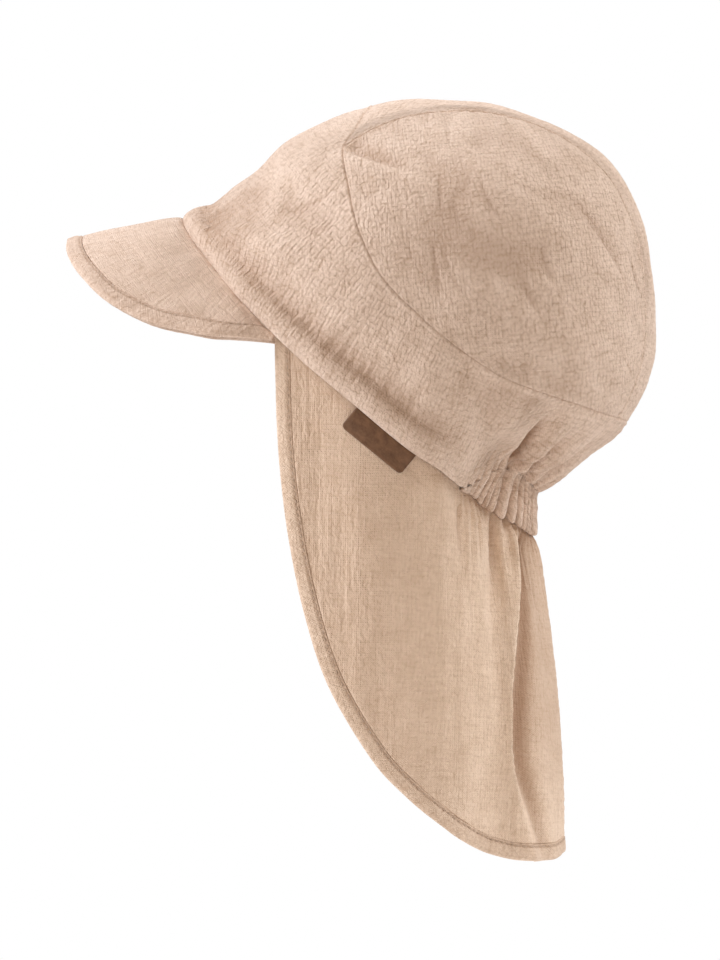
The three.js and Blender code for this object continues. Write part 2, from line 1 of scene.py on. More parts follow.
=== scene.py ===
import bpy
import numpy as np
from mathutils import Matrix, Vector


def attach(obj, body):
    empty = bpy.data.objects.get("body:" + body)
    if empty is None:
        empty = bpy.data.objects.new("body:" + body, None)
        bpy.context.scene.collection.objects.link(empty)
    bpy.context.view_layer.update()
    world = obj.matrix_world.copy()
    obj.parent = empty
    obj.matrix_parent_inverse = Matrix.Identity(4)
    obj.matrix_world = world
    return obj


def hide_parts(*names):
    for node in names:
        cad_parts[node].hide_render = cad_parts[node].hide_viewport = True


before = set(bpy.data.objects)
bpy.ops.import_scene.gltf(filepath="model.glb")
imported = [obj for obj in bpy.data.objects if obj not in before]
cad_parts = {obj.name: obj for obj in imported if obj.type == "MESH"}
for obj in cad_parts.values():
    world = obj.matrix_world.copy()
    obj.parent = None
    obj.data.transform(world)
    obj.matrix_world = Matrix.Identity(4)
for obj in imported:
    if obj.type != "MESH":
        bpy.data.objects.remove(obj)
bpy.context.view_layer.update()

MM = 0.001

# Crown
CROWN_REACH = 89
CROWN_HALF_WIDTH = 78
CROWN_FULLNESS = 2.2
CROWN_CLOTH = 1.6
STRIP_HALF_WIDTH = 28
STRIP_FRONT_HALF_WIDTH = 46
PANEL_RADIUS = 84  # of the ball that a side panel is laid flat from

# Rolled rim
ROLL_WIDTH = 12.5
ROLL_SWELL = 2.4
ROLL_CLOTH = 3

# Elastic casing and gathers
CASING_HEIGHT = 18
CASING_CLOTH = 1.6
CASING_PITCH = 13  # of cloth from a station to the next
CASING_SWELL = 0.3
RIDGE_HEIGHT = 1.8
GATHER_DENSITY = 1.5

# Peak
PEAK_LENGTH = 49
PEAK_THICKNESS = 3
PEAK_CAMBER = 1.5
PEAK_TUCK = 0.8

# Neck flap
FLAP_DROP = 134
FLAP_CLOTH = 1.4
FLAP_TUCK = 5
FLAP_FLARE = 14.2

# Bias binding
BINDING_WIDTH = 7
BINDING_SWELL = 0.5
SEAM_GAP = 0.3
TOUCH = 0.05  # left between two sewn pieces

# Leather tab
TAB_LENGTH = 31
TAB_HEIGHT = 9.5
TAB_THICKNESS = 1.2
TAB_CORNER = 2.2

# Stitches
STITCH_LENGTH = 2.1
STITCH_PITCH = 2.9
THREAD_RADIUS = 0.24

# Picture: the photograph's view from the wearer's left
PICTURE_WIDTH = 295.2 * MM
PICTURE_MIDDLE = (0, -31.9 * MM, -154.4 * MM)
CAMERA_DISTANCE = 6
SENSOR = 36  # millimetres
FLOOR_HEIGHT = -0.42
FLOOR_RADIUS = 0.85
LIT = (0, 0, -0.12)  # what every soft box faces


def table(names, rows):
    """A table's columns by name."""
    return dict(zip(names.split(), np.array(rows, float).T))


# The crown's outline from the side: its reach from the middle, as a share of CROWN_REACH, at each pitch in
# degrees, where 0 is straight back, 90 up and 180 ahead.
CROWN_OUTLINE = table("pitch reach", [
    (0, 1.0), (22, 1.004), (35, 1.007), (52, 0.974), (66, 0.939), (87, 0.916), (108, 0.936), (122, 0.962),
    (136, 1.005), (145, 1.02), (152, 1.07), (157, 1.125), (163, 1.224), (173, 1.17), (192, 1.19), (220, 1.27),
    (262, 1.49), (277, 1.28), (283, 1.12), (289, 1.0), (293, 0.97), (298, 1.0), (314, 1.006), (327, 1.04),
    (342, 1.03),
])

# The band's stations from the centre of the front to the centre of the back, on the wearer's left. The edge
# is the rim, or the casing's top, and the seam joins the band to the hood. Side is a share of
# CROWN_HALF_WIDTH, back and up of CROWN_REACH.
FRONT_CORNER = STRIP_FRONT_HALF_WIDTH / CROWN_HALF_WIDTH
BACK_CORNER = STRIP_HALF_WIDTH / CROWN_HALF_WIDTH
BAND_EDGE = table("side back up", [
    (0, -1.17, 0.362), (0.355, -1.114, 0.252), (0.536, -1.017, 0.118), (0.7, -0.888, -0.035),
    (0.795, -0.764, -0.167), (0.869, -0.589, -0.329), (0.91, -0.367, -0.513), (0.905, -0.151, -0.693),
    (0.856, 0.01, -0.794), (0.764, 0.116, -0.873), (0.662, 0.227, -0.808), (0.53, 0.315, -0.785),
    (0.37, 0.4, -0.83), (0.19, 0.447, -0.87), (0, 0.457, -0.878),
])
BAND_SEAM = table("side back up", [
    (0, -0.294, 0.886), (0.79 * FRONT_CORNER, -0.376, 0.776), (FRONT_CORNER, -0.433, 0.684),
    (0.78, -0.413, 0.518), (0.915, -0.358, 0.288), (0.985, -0.253, 0.081), (0.997, -0.096, -0.081),
    (0.973, 0.102, -0.246), (0.912, 0.287, -0.366), (0.826, 0.448, -0.43), (0.758, 0.545, -0.463),
    (0.64, 0.66, -0.5), (BACK_CORNER, 0.821, -0.551), (0.5 * BACK_CORNER, 0.862, -0.565), (0, 0.876, -0.569),
])
# The stations where the strip, the casing and the band start and end
STRIP_FRONT = 2
CASING_START = 9
STRIP_BACK = 12
LAST = 14
# The casing's ridges and valleys up to a station, at a density of 1
GATHER_TURNS = table("station turn", [(9, 0), (10, 4), (11, 8), (12, 12), (13, 18), (14, 24)])

# Up the band from its edge: distance as a share of ROLL_WIDTH, swell of ROLL_SWELL, and doubled, which is 1
# where the cloth is as thick as ROLL_CLOTH.
ROLL_PROFILE = table("distance swell doubled", [
    (0, 0.15, 1), (0.2, 0.8, 1), (0.5, 1.0, 1), (0.8, 0.5, 1), (1.05, -0.7, 0), (1.3, -0.65, 0), (2.1, 0, 0),
])
ROLL_FADE = (6.9, 8.6)

# The top strip's edge over the head; side is a share of STRIP_HALF_WIDTH.
STRIP_EDGE = table("pitch side", [
    (112, 1.5), (101, 1.34), (87, 1.16), (75, 1.03), (60, 0.97), (40, 1.0), (20, 1.03), (0, 1.04),
    (-18, 1.03),
])

# The hollow in the side panel's front corner: its depth, its width above and below the crease, its length
# and its fall to a length of 1.
CORNER_CREASE = {"depth": 2.0, "above": 5, "below": 1.8, "length": 34, "fall": 0.36}

# The casing's height as a share of CASING_HEIGHT, and its lower edge's lean ahead, as a share of that height.
CASING_SHAPE = table("station height lean", [
    (9, 0.06, 0.6), (9.5, 0.27, 0.6), (10, 0.54, 0.56), (10.6, 0.82, 0.45), (11.2, 0.96, 0.38),
    (11.8, 1.0, 0.2), (12.5, 1.02, 0.12), (14, 0.98, 0.07),
])

# Folds that the elastic pulls into the band: the station at the foot, at a share of 0.3 and at 0.6 of the
# way up, the lift, the widths in stations ahead of it and behind it, and where it dies away.
PULL_FOLDS = [
    (11.15, 10.55, 10.25, -7.0, 0.13, 0.45, 1.0), (11.45, 11.12, 11.12, 2.4, 0.42, 0.12, 1.0),
    (11.82, 11.33, 11.25, -5.5, 0.1, 0.3, 0.85), (12.1, 11.65, 11.83, 2.2, 0.3, 0.12, 0.8),
    (12.38, 12.06, 12.15, -5.0, 0.1, 0.35, 0.8), (12.95, 12.7, 12.75, 1.2, 0.3, 0.15, 0.6),
    (13.3, 13.1, 13.1, -2.6, 0.15, 0.3, 0.6), (10.5, 10.15, 9.8, -1.0, 0.15, 0.25, 0.5),
    (9.9, 9.5, 9.3, -0.7, 0.15, 0.25, 0.4),
]

# The peak's outer edge from the rim, in shares of PEAK_LENGTH.
PEAK_SHAPE = table("station aside ahead fall", [
    (0, 0, 0.988, 0.167), (0.5, 0.169, 0.982, 0.206), (1, 0.253, 0.931, 0.271), (1.5, 0.316, 0.816, 0.353),
    (2, 0.331, 0.571, 0.402), (2.6, 0.247, 0.361, 0.32), (3.3, 0.161, 0.233, 0.18), (3.85, 0.05, 0.04, 0.088),
    (4.12, 0.01, 0.012, 0.033),
])
PEAK_END = 4.12

# The flap's free edge from the temple: forward is a share of the rim's length, drop of FLAP_DROP.
FLAP_EDGE = table("forward drop", [
    (1.0, 0.0), (0.998, 0.12), (0.993, 0.28), (0.981, 0.428), (0.956, 0.59), (0.912, 0.763), (0.842, 0.921),
    (0.722, 1.03), (0.63, 1.054), (0.55, 1.068), (0.44, 1.06), (0.342, 1.058), (0.242, 1.036), (0.13, 1.0),
    (0, 0.975),
])
FLAP_START = 3.95
# Where the cloth's columns end on the free edge: forward is a share of the rim's way from the back to the
# temple, share one of the free edge's way from the temple to the back.
FLAP_FAN = table("forward share", [(0, 1), (0.28, 0.84), (0.5, 0.7), (0.8, 0.35), (1, 0.03)])
# How far the sharp crest of the flap's long fold is from the centre of the back.
FLAP_CREST = table("drop aside", [
    (-5, 32), (0, 32.5), (25, 34.5), (52, 39), (75, 42.5), (99, 43), (114, 38.5), (140, 31),
])
# Short folds under the casing: the way from the centre of the back, the width behind and ahead, the lift,
# and the drop where each dies away.
FLAP_FOLDS = [
    (56, 6, 6, 1.8, 150), (67, 2, 3.5, -1.8, 42), (78, 6, 5, 0.8, 80), (90, 8, 8, -0.6, 130),
    (3, 8, 8, 1.0, 50), (18, 5, 5, -1.2, 80), (112, 12, 10, 0.7, 140), (130, 10, 10, -0.6, 140),
]
# The flap's flare as a share of FLAP_FLARE
FLARE_SHAPE = table("station share", [(4, 0), (8, 0.05), (10, 0.3), (12, 0.8), (14, 1)])
GATHER_FADE = 45
TAB_STATION = 5.95
TAB_GAP = 0.8

# Fine relief of the cloth
PUCKER_SIZE = 2.2  # across a pucker of the crinkled muslin
PUCKER_HEIGHT = 0.2
SEAM_DEPTH = 0.38
SEAM_FADE = 5  # the cloth's slack fades out this far from a seam
SEAM_TURN = 0.7
SLACK_HEIGHT = 1.3
MARGIN = (0, 0.12, 0.3, 0.6, 1.0, 1.6)  # rows of points close to a seam or an edge


# Numbers and curves
def value_at(keys, values, at, period=None):
    """A smooth curve through a table's rows: past its ends the end rows hold, or it repeats by its period."""
    at = np.asarray(at, float)
    if period:
        at = np.mod(at, period)
        keys = np.concatenate([keys[-2:] - period, keys, keys[:2] + period])
        values = np.concatenate([values[-2:], values, values[:2]])
    at = np.clip(at, keys[0], keys[-1])
    slopes = np.gradient(values)
    slopes[1:-1] = (values[2:] - values[:-2]) / (keys[2:] - keys[:-2])
    slopes[0] = (values[1] - values[0]) / (keys[1] - keys[0])
    slopes[-1] = (values[-1] - values[-2]) / (keys[-1] - keys[-2])
    i = np.clip(np.searchsorted(keys, at, side="right") - 1, 0, len(keys) - 2)
    span = keys[i + 1] - keys[i]
    t = (at - keys[i]) / span
    rise = values[i] + (values[i + 1] - values[i]) * (3 * t**2 - 2 * t**3)
    return rise + span * (slopes[i] * (t**3 - 2 * t**2 + t) + slopes[i + 1] * (t**3 - t**2))


def read(rows, column, at):
    """A table's column where its first column is at."""
    return value_at(rows[next(iter(rows))], rows[column], at)


def ease(at, low, high):
    t = np.clip((np.asarray(at, float) - low) / (high - low), 0, 1)
    return t * t * (3 - 2 * t)


def bell(offset):
    return np.exp(-np.square(offset))


def dome(share):
    """A quarter circle: 0 at 0, and 1 from 1 on."""
    return np.sqrt(1 - np.square(1 - np.clip(share, 0, 1)))


def length_of(vectors):
    return np.linalg.norm(vectors, axis=-1, keepdims=True)


def unit(vectors):
    return vectors / np.maximum(length_of(vectors), 1e-12)


def vector(x, y, z):
    return np.stack(np.broadcast_arrays(np.asarray(x, float), y, z), axis=-1)


def mirrored(points):
    return points * [-1, 1, 1]


def along(line):
    """The distance of each point of a line from its start."""
    return np.concatenate([[0], np.cumsum(length_of(np.diff(line, axis=0))[:, 0])])


def bent(start, end, leave, arrive, t):
    """A share t of the way from start to end, with the slopes leave and arrive there."""
    bend = (2 * start - 2 * end + leave + arrive) * t**3 + (3 * end - 3 * start - 2 * leave - arrive) * t**2
    return bend + leave * t + start


def smooth_line(points, closed=False):
    """A centripetal curve through points, read at an index with a fraction."""
    points = np.asarray(points, float)
    before, after = 2 * points[:1] - points[1:2], 2 * points[-1:] - points[-2:-1]
    if closed:
        before, after = points[-1:], points[:2]
    padded = np.concatenate([before, points, after])
    last = len(points) if closed else len(points) - 1

    def at(index):
        index = np.asarray(index, float)
        i = np.clip(np.floor(index).astype(int), 0, last - 1)
        t = (index - i)[..., None]
        a, b, c, d = (padded[i + step] for step in range(4))
        first, middle, final = (np.maximum(length_of(gap), 1e-9) ** 0.5 for gap in (b - a, c - b, d - c))
        leave = ((b - a) / first - (c - a) / (first + middle) + (c - b) / middle) * middle
        arrive = ((c - b) / middle - (d - b) / (middle + final) + (d - c) / final) * middle
        return bent(b, c, leave, arrive, t)

    return at


def noise(u, v, seed):
    """Smooth noise between about -1 and 1, with one cell a unit."""
    i, j = np.floor(u).astype(np.int64), np.floor(v).astype(np.int64)
    x, y = u - i, v - j
    total = 0
    for across in (0, 1):
        for up in (0, 1):
            mixed = (i + across) * 374761393 + (j + up) * 668265263 + seed * 974634777
            mixed = (mixed ^ (mixed >> 13)) * 1274126177
            turn = ((mixed ^ (mixed >> 16)) & 0xFFFF) / 0x10000 * 2 * np.pi
            slope = np.cos(turn) * (x - across) + np.sin(turn) * (y - up)
            total = total + slope * ease(1 - np.abs(x - across), 0, 1) * ease(1 - np.abs(y - up), 0, 1)
    return 1.5 * total


# Crown
def outline_at(pitch):
    return CROWN_REACH * value_at(CROWN_OUTLINE["pitch"], CROWN_OUTLINE["reach"], pitch, 360)


CROWN_MIDDLE = np.array([0, 0, CROWN_CLOTH - float(outline_at(90))])


def level_of(offset):
    """1 on the crown's outer face, less inside it and more outside."""
    x, y, z = np.moveaxis(offset, -1, 0)
    level = (np.hypot(y, z) / outline_at(np.degrees(np.arctan2(z, y)))) ** CROWN_FULLNESS
    return (level + (np.abs(x) / CROWN_HALF_WIDTH) ** CROWN_FULLNESS) ** (1 / CROWN_FULLNESS)


def on_crown(points):
    """The spots of the crown's outer face in line with points, and the way out of the cloth there."""
    place = points - CROWN_MIDDLE
    place = place / level_of(place)[..., None]
    near = 0.4
    out = [level_of(place + near * axis) - level_of(place - near * axis) for axis in np.eye(3)]
    return place + CROWN_MIDDLE, unit(np.stack(out, axis=-1))


def ring_line(rows):
    """A line right round the cap; minus stations are on the wearer's right."""
    spots = vector(rows["side"] * CROWN_HALF_WIDTH, rows["back"] * CROWN_REACH, rows["up"] * CROWN_REACH)
    left = on_crown(spots + CROWN_MIDDLE)[0]
    line = smooth_line(np.concatenate([left, mirrored(left[1:-1][::-1])]), closed=True)

    def at(station):
        station = np.asarray(station, float)
        point = line(np.abs(station))
        return on_crown(np.where(station[..., None] < 0, mirrored(point), point))[0]

    return at


band_edge = ring_line(BAND_EDGE)
band_seam = ring_line(BAND_SEAM)


def gather_at(station, sharp=0.0):
    """1 on a gather's ridge and -1 in the valley beside it, which is a crease where sharp is 1."""
    station = np.abs(station)
    turns = GATHER_DENSITY * read(GATHER_TURNS, "turn", station) + 0.5 * noise(1.7 * station, 0 * station, 3)
    soft, creased = np.cos(np.pi * turns), 2 * np.abs(np.cos(0.5 * np.pi * turns)) - 1
    return ease(station, CASING_START - 0.3, CASING_START + 1) * (soft + sharp * (creased - soft))


def one_sided(offset, ahead, behind):
    return bell(offset / np.where(offset < 0, ahead, behind))


def pulled_in(station, share):
    folds = 0
    for foot, middle, far, lift, ahead, behind, fades in PULL_FOLDS:
        place = foot + (middle - foot) * ease(share, -0.15, 0.3) + (far - middle) * ease(share, 0.2, 0.6)
        grown = ease(share, -0.08, 0.12) * (1 - ease(share, 0.35 * fades, fades))
        folds = folds + lift * grown * one_sided(np.abs(station) - place, ahead, behind)
    return folds


def band_lift(station, share):
    ridges = gather_at(np.abs(station) + 0.6 * share, ease(share, 0, 0.08)) * (1 - ease(share, 0, 0.4))
    return 0.6 * RIDGE_HEIGHT * ridges + pulled_in(station, share)


# Relief: how far the cloth stands out of the smooth face. Cloth coordinates are those on the cut piece.
def puckers(u, v, seed, size=PUCKER_SIZE):
    """Small rounded puckers, longer up the cloth, with thin creases between them: 0 in a crease, 1 on top."""
    wander = noise(u / (5 * size), v / (5 * size), seed + 1)
    coarse = np.abs(noise(u / size + wander, v / (1.9 * size) + wander, seed))
    fine = np.abs(noise(1.5 * u / size - wander, v / (1.2 * size), seed + 2))
    return np.minimum(1, 2.2 * coarse**0.8) * 0.65 + np.minimum(1, 2.2 * fine**0.8) * 0.35


def creases(u, v, seed, spacing=13):
    """Long soft creases up the cloth, 1 along each."""
    wander = 0.6 * noise(u / (3 * spacing), v / (3 * spacing), seed + 5)
    line = noise(u / spacing + wander, v / (3.5 * spacing), seed + 4)
    return bell(line / 0.11) * ease(noise(u / (2 * spacing), v / (2 * spacing), seed + 6), -0.3, 0.5)


def muslin(u, v, seed, amount=1.0):
    """The relief of crinkled muslin: puckers, long creases and some slack."""
    slack = noise(u / 42, v / 42, seed + 8) + 0.5 * noise(u / 15, v / 21, seed + 9)
    strength = 1 + 0.5 * noise(u / 24, v / 24, seed + 10)
    crumple = strength * PUCKER_HEIGHT * (puckers(u, v, seed) - 0.6) - 0.6 * creases(u, v, seed)
    return amount * (crumple + SLACK_HEIGHT * slack)


def seam_turn(distance, run, seed, ridge=0.4):
    """The face turns down into a seam at distance 0, behind a slim ridge with small puckers along it."""
    dip = -SEAM_DEPTH * (1 - dome(distance / SEAM_TURN))
    tight = 0.28 * bell(distance / 6) * noise(run / 2.3, distance / 9, seed)
    return dip + ridge * bell((distance - 1.2) / 0.55) + tight


# Meshes
class Shape:
    """Collects grids of points and the strips that join them, then makes one object."""

    def __init__(self):
        self.points, self.cloth, self.polygons = [], [], []
        self.count = 0

    def add(self, places, cloth):
        """Adds points with their cloth coordinates and gives their numbers, in the same layout."""
        numbers = self.count + np.arange(places[..., 0].size).reshape(places.shape[:-1])
        self.points.append(places.reshape(-1, 3))
        self.cloth.append(cloth.reshape(-1, 3))
        self.count += numbers.size
        return numbers

    def face(self, numbers, flip=False):
        corners = (numbers[:-1, :-1], numbers[:-1, 1:], numbers[1:, 1:], numbers[1:, :-1])
        quads = np.stack([corner.ravel() for corner in corners], axis=1)
        self.polygons.append(quads[:, ::-1] if flip else quads)

    def join(self, first, second, flip=False):
        """A strip between two lines of points, which may have different counts."""
        places = np.concatenate(self.points)
        a, b = (along(places[line]) for line in (first, second))
        a, b = a / max(a[-1], 1e-9), b / max(b[-1], 1e-9)
        a, b = (a[1:] + a[:-1]) / 2, (b[1:] + b[:-1]) / 2
        ahead = np.stack([first[:-1], first[1:], second[np.searchsorted(b, a, side="left")]], axis=1)
        back = np.stack([first[np.searchsorted(a, b, side="right")], second[1:], second[:-1]], axis=1)
        for strip in (ahead, back):
            self.polygons.append(strip[:, ::-1] if flip else strip)

    def make(self, name, material):
        points = np.concatenate(self.points)
        corners = np.concatenate([polygons.ravel() for polygons in self.polygons])
        sizes = np.concatenate([np.full(len(polygons), polygons.shape[1]) for polygons in self.polygons])
        mesh = bpy.data.meshes.new(name)
        mesh.vertices.add(len(points))
        mesh.vertices.foreach_set("co", MM * points.ravel())
        mesh.loops.add(len(corners))
        mesh.loops.foreach_set("vertex_index", corners.astype(np.int32))
        mesh.polygons.add(len(sizes))
        mesh.polygons.foreach_set("loop_start", (np.cumsum(sizes) - sizes).astype(np.int32))
        mesh.polygons.foreach_set("use_smooth", np.ones(len(sizes), bool))
        cloth = np.concatenate(self.cloth)
        mesh.uv_layers.new(name="cloth").data.foreach_set("uv", cloth[corners, :2].ravel())
        # The third cloth column, the painted shade, becomes a point attribute that the materials read.
        mesh.attributes.new("painted_shade", "FLOAT", "POINT").data.foreach_set("value", cloth[:, 2].copy())
        mesh.update(calc_edges=True)
        mesh.validate()
        mesh.materials.append(material)
        piece = bpy.data.objects.new(name, mesh)
        bpy.context.scene.collection.objects.link(piece)
        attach(piece, "root")
        return piece


def wall(patches, inner, name, material):
    """A closed wall of grids, each (places, cloth).

    Patches are those of the outer face, side by side along the columns; inner is one coarser grid.
    """
    shape = Shape()
    outer = [shape.add(*patch) for patch in patches]
    back = shape.add(*inner)
    for numbers in outer:
        shape.face(numbers)
    for here, beside in zip(outer, outer[1:]):
        shape.join(beside[:, 0], here[:, -1])
    shape.face(back, flip=True)
    shape.join(np.concatenate([numbers[0] for numbers in outer]), back[0], flip=True)
    shape.join(np.concatenate([numbers[-1] for numbers in outer]), back[-1])
    shape.join(outer[0][:, 0], back[:, 0])
    shape.join(outer[-1][:, -1], back[:, -1], flip=True)
    return shape.make(name, material)


def cloth_wall(name, material, grid, spans, inside):
    """A wall of cloth through grid(columns, rows), which gives outer places, inner places and cloth.

    Spans are the outer face's (columns, rows), side by side; inside is the inner face's.
    """
    patches = [grid(*span) for span in spans]
    _, inner, cloth = grid(*inside)
    return wall([(outer, uv) for outer, _, uv in patches], (inner, cloth), name, material)


def spread(length, count, margin=MARGIN, ends=(True, True)):
    """Distances along lines of these lengths, close together in the margins and even between them."""
    length = np.atleast_1d(np.asarray(length, float))
    close = np.array(margin)[:, None] * np.minimum(1, length / (3 * margin[-1]))[None, :]
    low = close if ends[0] else close[:1]
    high = length[None, :] - (close if ends[1] else close[:1])[::-1]
    share = np.linspace(0, 1, count + 2)[1:-1, None]
    return np.concatenate([low, low[-1:] + (high[:1] - low[-1:]) * share, high])


def face_with_uv(u, v, painted_shade=0.0):
    """Cloth coordinates, and painted shade from 0 to 1: how deep the cloth lies in a fold, crease or shadow,
    painted as a darker, warmer colour there.
    """
    return np.stack(np.broadcast_arrays(u, v, painted_shade), axis=-1)


# Materials
def node(tree, kind, inputs=(), **settings):
    """Adds a shader node; inputs are numbers, colours or another node's output."""
    made = tree.nodes.new("ShaderNode" + kind)
    for name, value in settings.items():
        setattr(made, name, value)
    for key, value in dict(inputs).items():
        if isinstance(value, bpy.types.NodeSocket):
            tree.links.new(value, made.inputs[key])
        else:
            made.inputs[key].default_value = value
    return made


def math(tree, operation, *values):
    return node(tree, "Math", enumerate(values), operation=operation).outputs[0]


def total(tree, *parts):
    """The sum of (value, amount) pairs."""
    result = 0.0
    for value, amount in parts:
        result = math(tree, "MULTIPLY_ADD", value, amount, result)
    return result


def scaled_cloth(tree, cloth, across, up, turn):
    placed = node(tree, "Mapping", {0: cloth, "Rotation": (0, 0, turn)}, vector_type="TEXTURE").outputs[0]
    return node(tree, "VectorMath", {0: placed, 1: (1 / across, 1 / up, 1)}, operation="MULTIPLY").outputs[0]


def stretched_noise(tree, cloth, across, up, turn=0.0, detail=2.0):
    """Noise in cloth coordinates, with cells of this size across and up the cloth; 0.5 on average."""
    scaled = scaled_cloth(tree, cloth, across, up, turn)
    return node(tree, "TexNoise", {"Vector": scaled, "Scale": 1.0, "Detail": detail}).outputs["Fac"]


def blend(tree, factor, low, high):
    """A colour between low, at 0, and high, at 1."""
    sides = {"Factor": factor, 6: low, 7: (*high, 1)}
    return node(tree, "Mix", sides, data_type="RGBA", clamp_factor=True).outputs[2]


def start_material(name):
    """A new material, its tree and the cloth coordinates in it."""
    material = bpy.data.materials.new(name)
    material.use_nodes = True
    return material, material.node_tree, node(material.node_tree, "UVMap", uv_map="cloth").outputs[0]


def finish_material(tree, colour, height, roughness, levels):
    shader = tree.nodes["Principled BSDF"]
    bump = node(tree, "Bump", {"Height": height, "Strength": 1.0, "Distance": MM}).outputs[0]
    for name, source in {"Base Color": colour, "Normal": bump, "Roughness": roughness}.items():
        tree.links.new(source, shader.inputs[name])
    for name, level in levels.items():
        shader.inputs[name].default_value = level


def thread_waves(tree, cloth, pitch):
    """Two crossed sets of threads, each pushed about a little: -1 to 1."""
    parts = node(tree, "SeparateXYZ", {0: cloth})
    waves = []
    for axis, (across, up) in enumerate(((9 * pitch, 40 * pitch), (40 * pitch, 9 * pitch))):
        wander = stretched_noise(tree, cloth, across, up)
        pushed = math(tree, "MULTIPLY", wander, 14)
        phase = math(tree, "MULTIPLY_ADD", parts.outputs[axis], 2 * np.pi / pitch, pushed)
        waves.append(math(tree, "SINE", phase))
    return waves


PAINTED_FOLD_SHADE = (0.36, 0.21, 0.125)  # the painted shade colour of cotton deep in a fold


def creased(tree, cloth, across, up, turn):
    """Small rounded puckers in loose rows: about 1 on top, less than 0 in the creases between them."""
    scaled = scaled_cloth(tree, cloth, across, up, turn)
    drift = node(tree, "TexNoise", {"Vector": scaled, "Scale": 0.4, "Detail": 1.0}).outputs["Color"]
    pushed = {0: drift, 1: (1.1, 1.1, 0), 2: scaled}
    moved = node(tree, "VectorMath", pushed, operation="MULTIPLY_ADD").outputs[0]
    rows = {"Vector": moved, "Scale": 1.0, "Randomness": 0.5}
    distance = node(tree, "TexVoronoi", rows, voronoi_dimensions="2D").outputs["Distance"]
    return math(tree, "MULTIPLY_ADD", math(tree, "MULTIPLY", distance, distance), -2.0, 1.0)


def cotton(name, light, dark, pitch=0.8, crinkle=0.34, lean=0.2, weave=0.06, depth=1.0):
    """Matt cotton: crossed threads, slubs, small puckers with painted shade in the creases between them,
    painted fold shade from the mesh, and a soft bloom.
    """
    material, tree, cloth = start_material(name)
    warp, weft = thread_waves(tree, cloth, pitch)
    crossing = math(tree, "MULTIPLY", warp, weft)
    pucker = creased(tree, cloth, 1.7, 2.3, lean)
    small = creased(tree, cloth, 1.0, 1.2, lean + 0.6)
    tuck = stretched_noise(tree, cloth, 4.2, 2.4, lean + 0.5, 2.0)
    slub_up = stretched_noise(tree, cloth, 0.7, 22, 0, 1.0)
    slub_across = stretched_noise(tree, cloth, 22, 0.7, 0, 1.0)
    mottle = stretched_noise(tree, cloth, 9, 13, 0.4, 3.0)
    fibre = stretched_noise(tree, cloth, 0.4, 0.4, 0, 2.0)
    height = total(
        tree, (pucker, crinkle), (small, 0.55 * crinkle), (tuck, 1.2 * crinkle), (crossing, weave),
        (warp, 0.5 * weave), (weft, 0.5 * weave), (slub_up, 5 * weave), (slub_across, 4 * weave),
        (fibre, 3 * weave),
    )
    # Painted shade: the pucker and small weights, scaled by depth, darken the colour in the creases between
    # puckers; slubs, mottle and fibre are the cloth's own tone.
    tone = total(
        tree, (pucker, 0.5 * depth), (small, 0.25 * depth), (tuck, 0.5), (crossing, 0.25), (slub_up, 0.6),
        (slub_across, 0.5), (mottle, 0.9), (fibre, 1.2), (1.0, -1.3 - 0.44 * depth),
    )
    # The mesh's painted shade attribute blends the colour towards the painted fold-shade colour.
    painted_shade = node(tree, "Attribute", attribute_name="painted_shade").outputs["Fac"]
    colour = blend(tree, painted_shade, blend(tree, tone, (*dark, 1), light), PAINTED_FOLD_SHADE)
    finish_material(tree, colour, height, total(tree, (fibre, 0.12), (1.0, 0.86)), {
        "Specular IOR Level": 0.2, "Sheen Weight": 0.15, "Sheen Roughness": 0.5,
        "Sheen Tint": (1.0, 0.93, 0.87, 1),
    })
    return material


def leather():
    """Smooth brown leather: pebbled grain, pores and a little wear."""
    material, tree, cloth = start_material("tab leather")
    scaled = node(tree, "VectorMath", {0: cloth, "Scale": 1 / 0.8}, operation="SCALE").outputs[0]
    grain = {"Vector": scaled, "Scale": 1.0}
    cells = node(tree, "TexVoronoi", grain, feature="SMOOTH_F1").outputs["Distance"]
    pores = stretched_noise(tree, cloth, 0.3, 0.3, 0, 3.0)
    wear = stretched_noise(tree, cloth, 5, 3, 0.3, 4.0)
    tone = total(tree, (wear, 1.5), (cells, -0.4), (pores, 0.6), (1.0, -0.45))
    colour = blend(tree, tone, (0.1, 0.05, 0.026, 1), (0.24, 0.125, 0.066))
    height = total(tree, (cells, -0.06), (pores, 0.03), (wear, 0.05))
    roughness = total(tree, (wear, 0.3), (pores, 0.1), (1.0, 0.38))
    finish_material(tree, colour, height, roughness, {"Specular IOR Level": 0.25})
    return material


CROWN_LIGHT, CROWN_DARK = (0.82, 0.645, 0.52), (0.54, 0.38, 0.27)
FLAP_LIGHT, FLAP_DARK = (0.82, 0.64, 0.49), (0.6, 0.43, 0.3)
# A cotton's depth sets how dark its painted shade in the pucker creases is.
crown_cotton = cotton("crown muslin", CROWN_LIGHT, CROWN_DARK)
peak_cotton = cotton("peak muslin", CROWN_LIGHT, CROWN_DARK, crinkle=0.17, weave=0.07, lean=1.4, depth=0.6)
flap_cotton = cotton("flap muslin", FLAP_LIGHT, FLAP_DARK, pitch=0.9, crinkle=0.17, weave=0.05, depth=0.7)
binding_cotton = cotton("bias binding", FLAP_LIGHT, FLAP_DARK, crinkle=0.22, lean=0.8, depth=0.8)
peak_binding_cotton = cotton("peak bias binding", CROWN_LIGHT, CROWN_DARK, crinkle=0.2, lean=0.8, depth=0.6)
thread_cotton = cotton("sewing thread", (0.66, 0.5, 0.38), (0.45, 0.32, 0.22), pitch=0.3, crinkle=0.02)
tab_leather = leather()


# Crown band
BAND_STEPS = np.linspace(0, LAST, 400)
BAND_RUN = along((band_edge(BAND_STEPS) + band_seam(BAND_STEPS)) / 2)


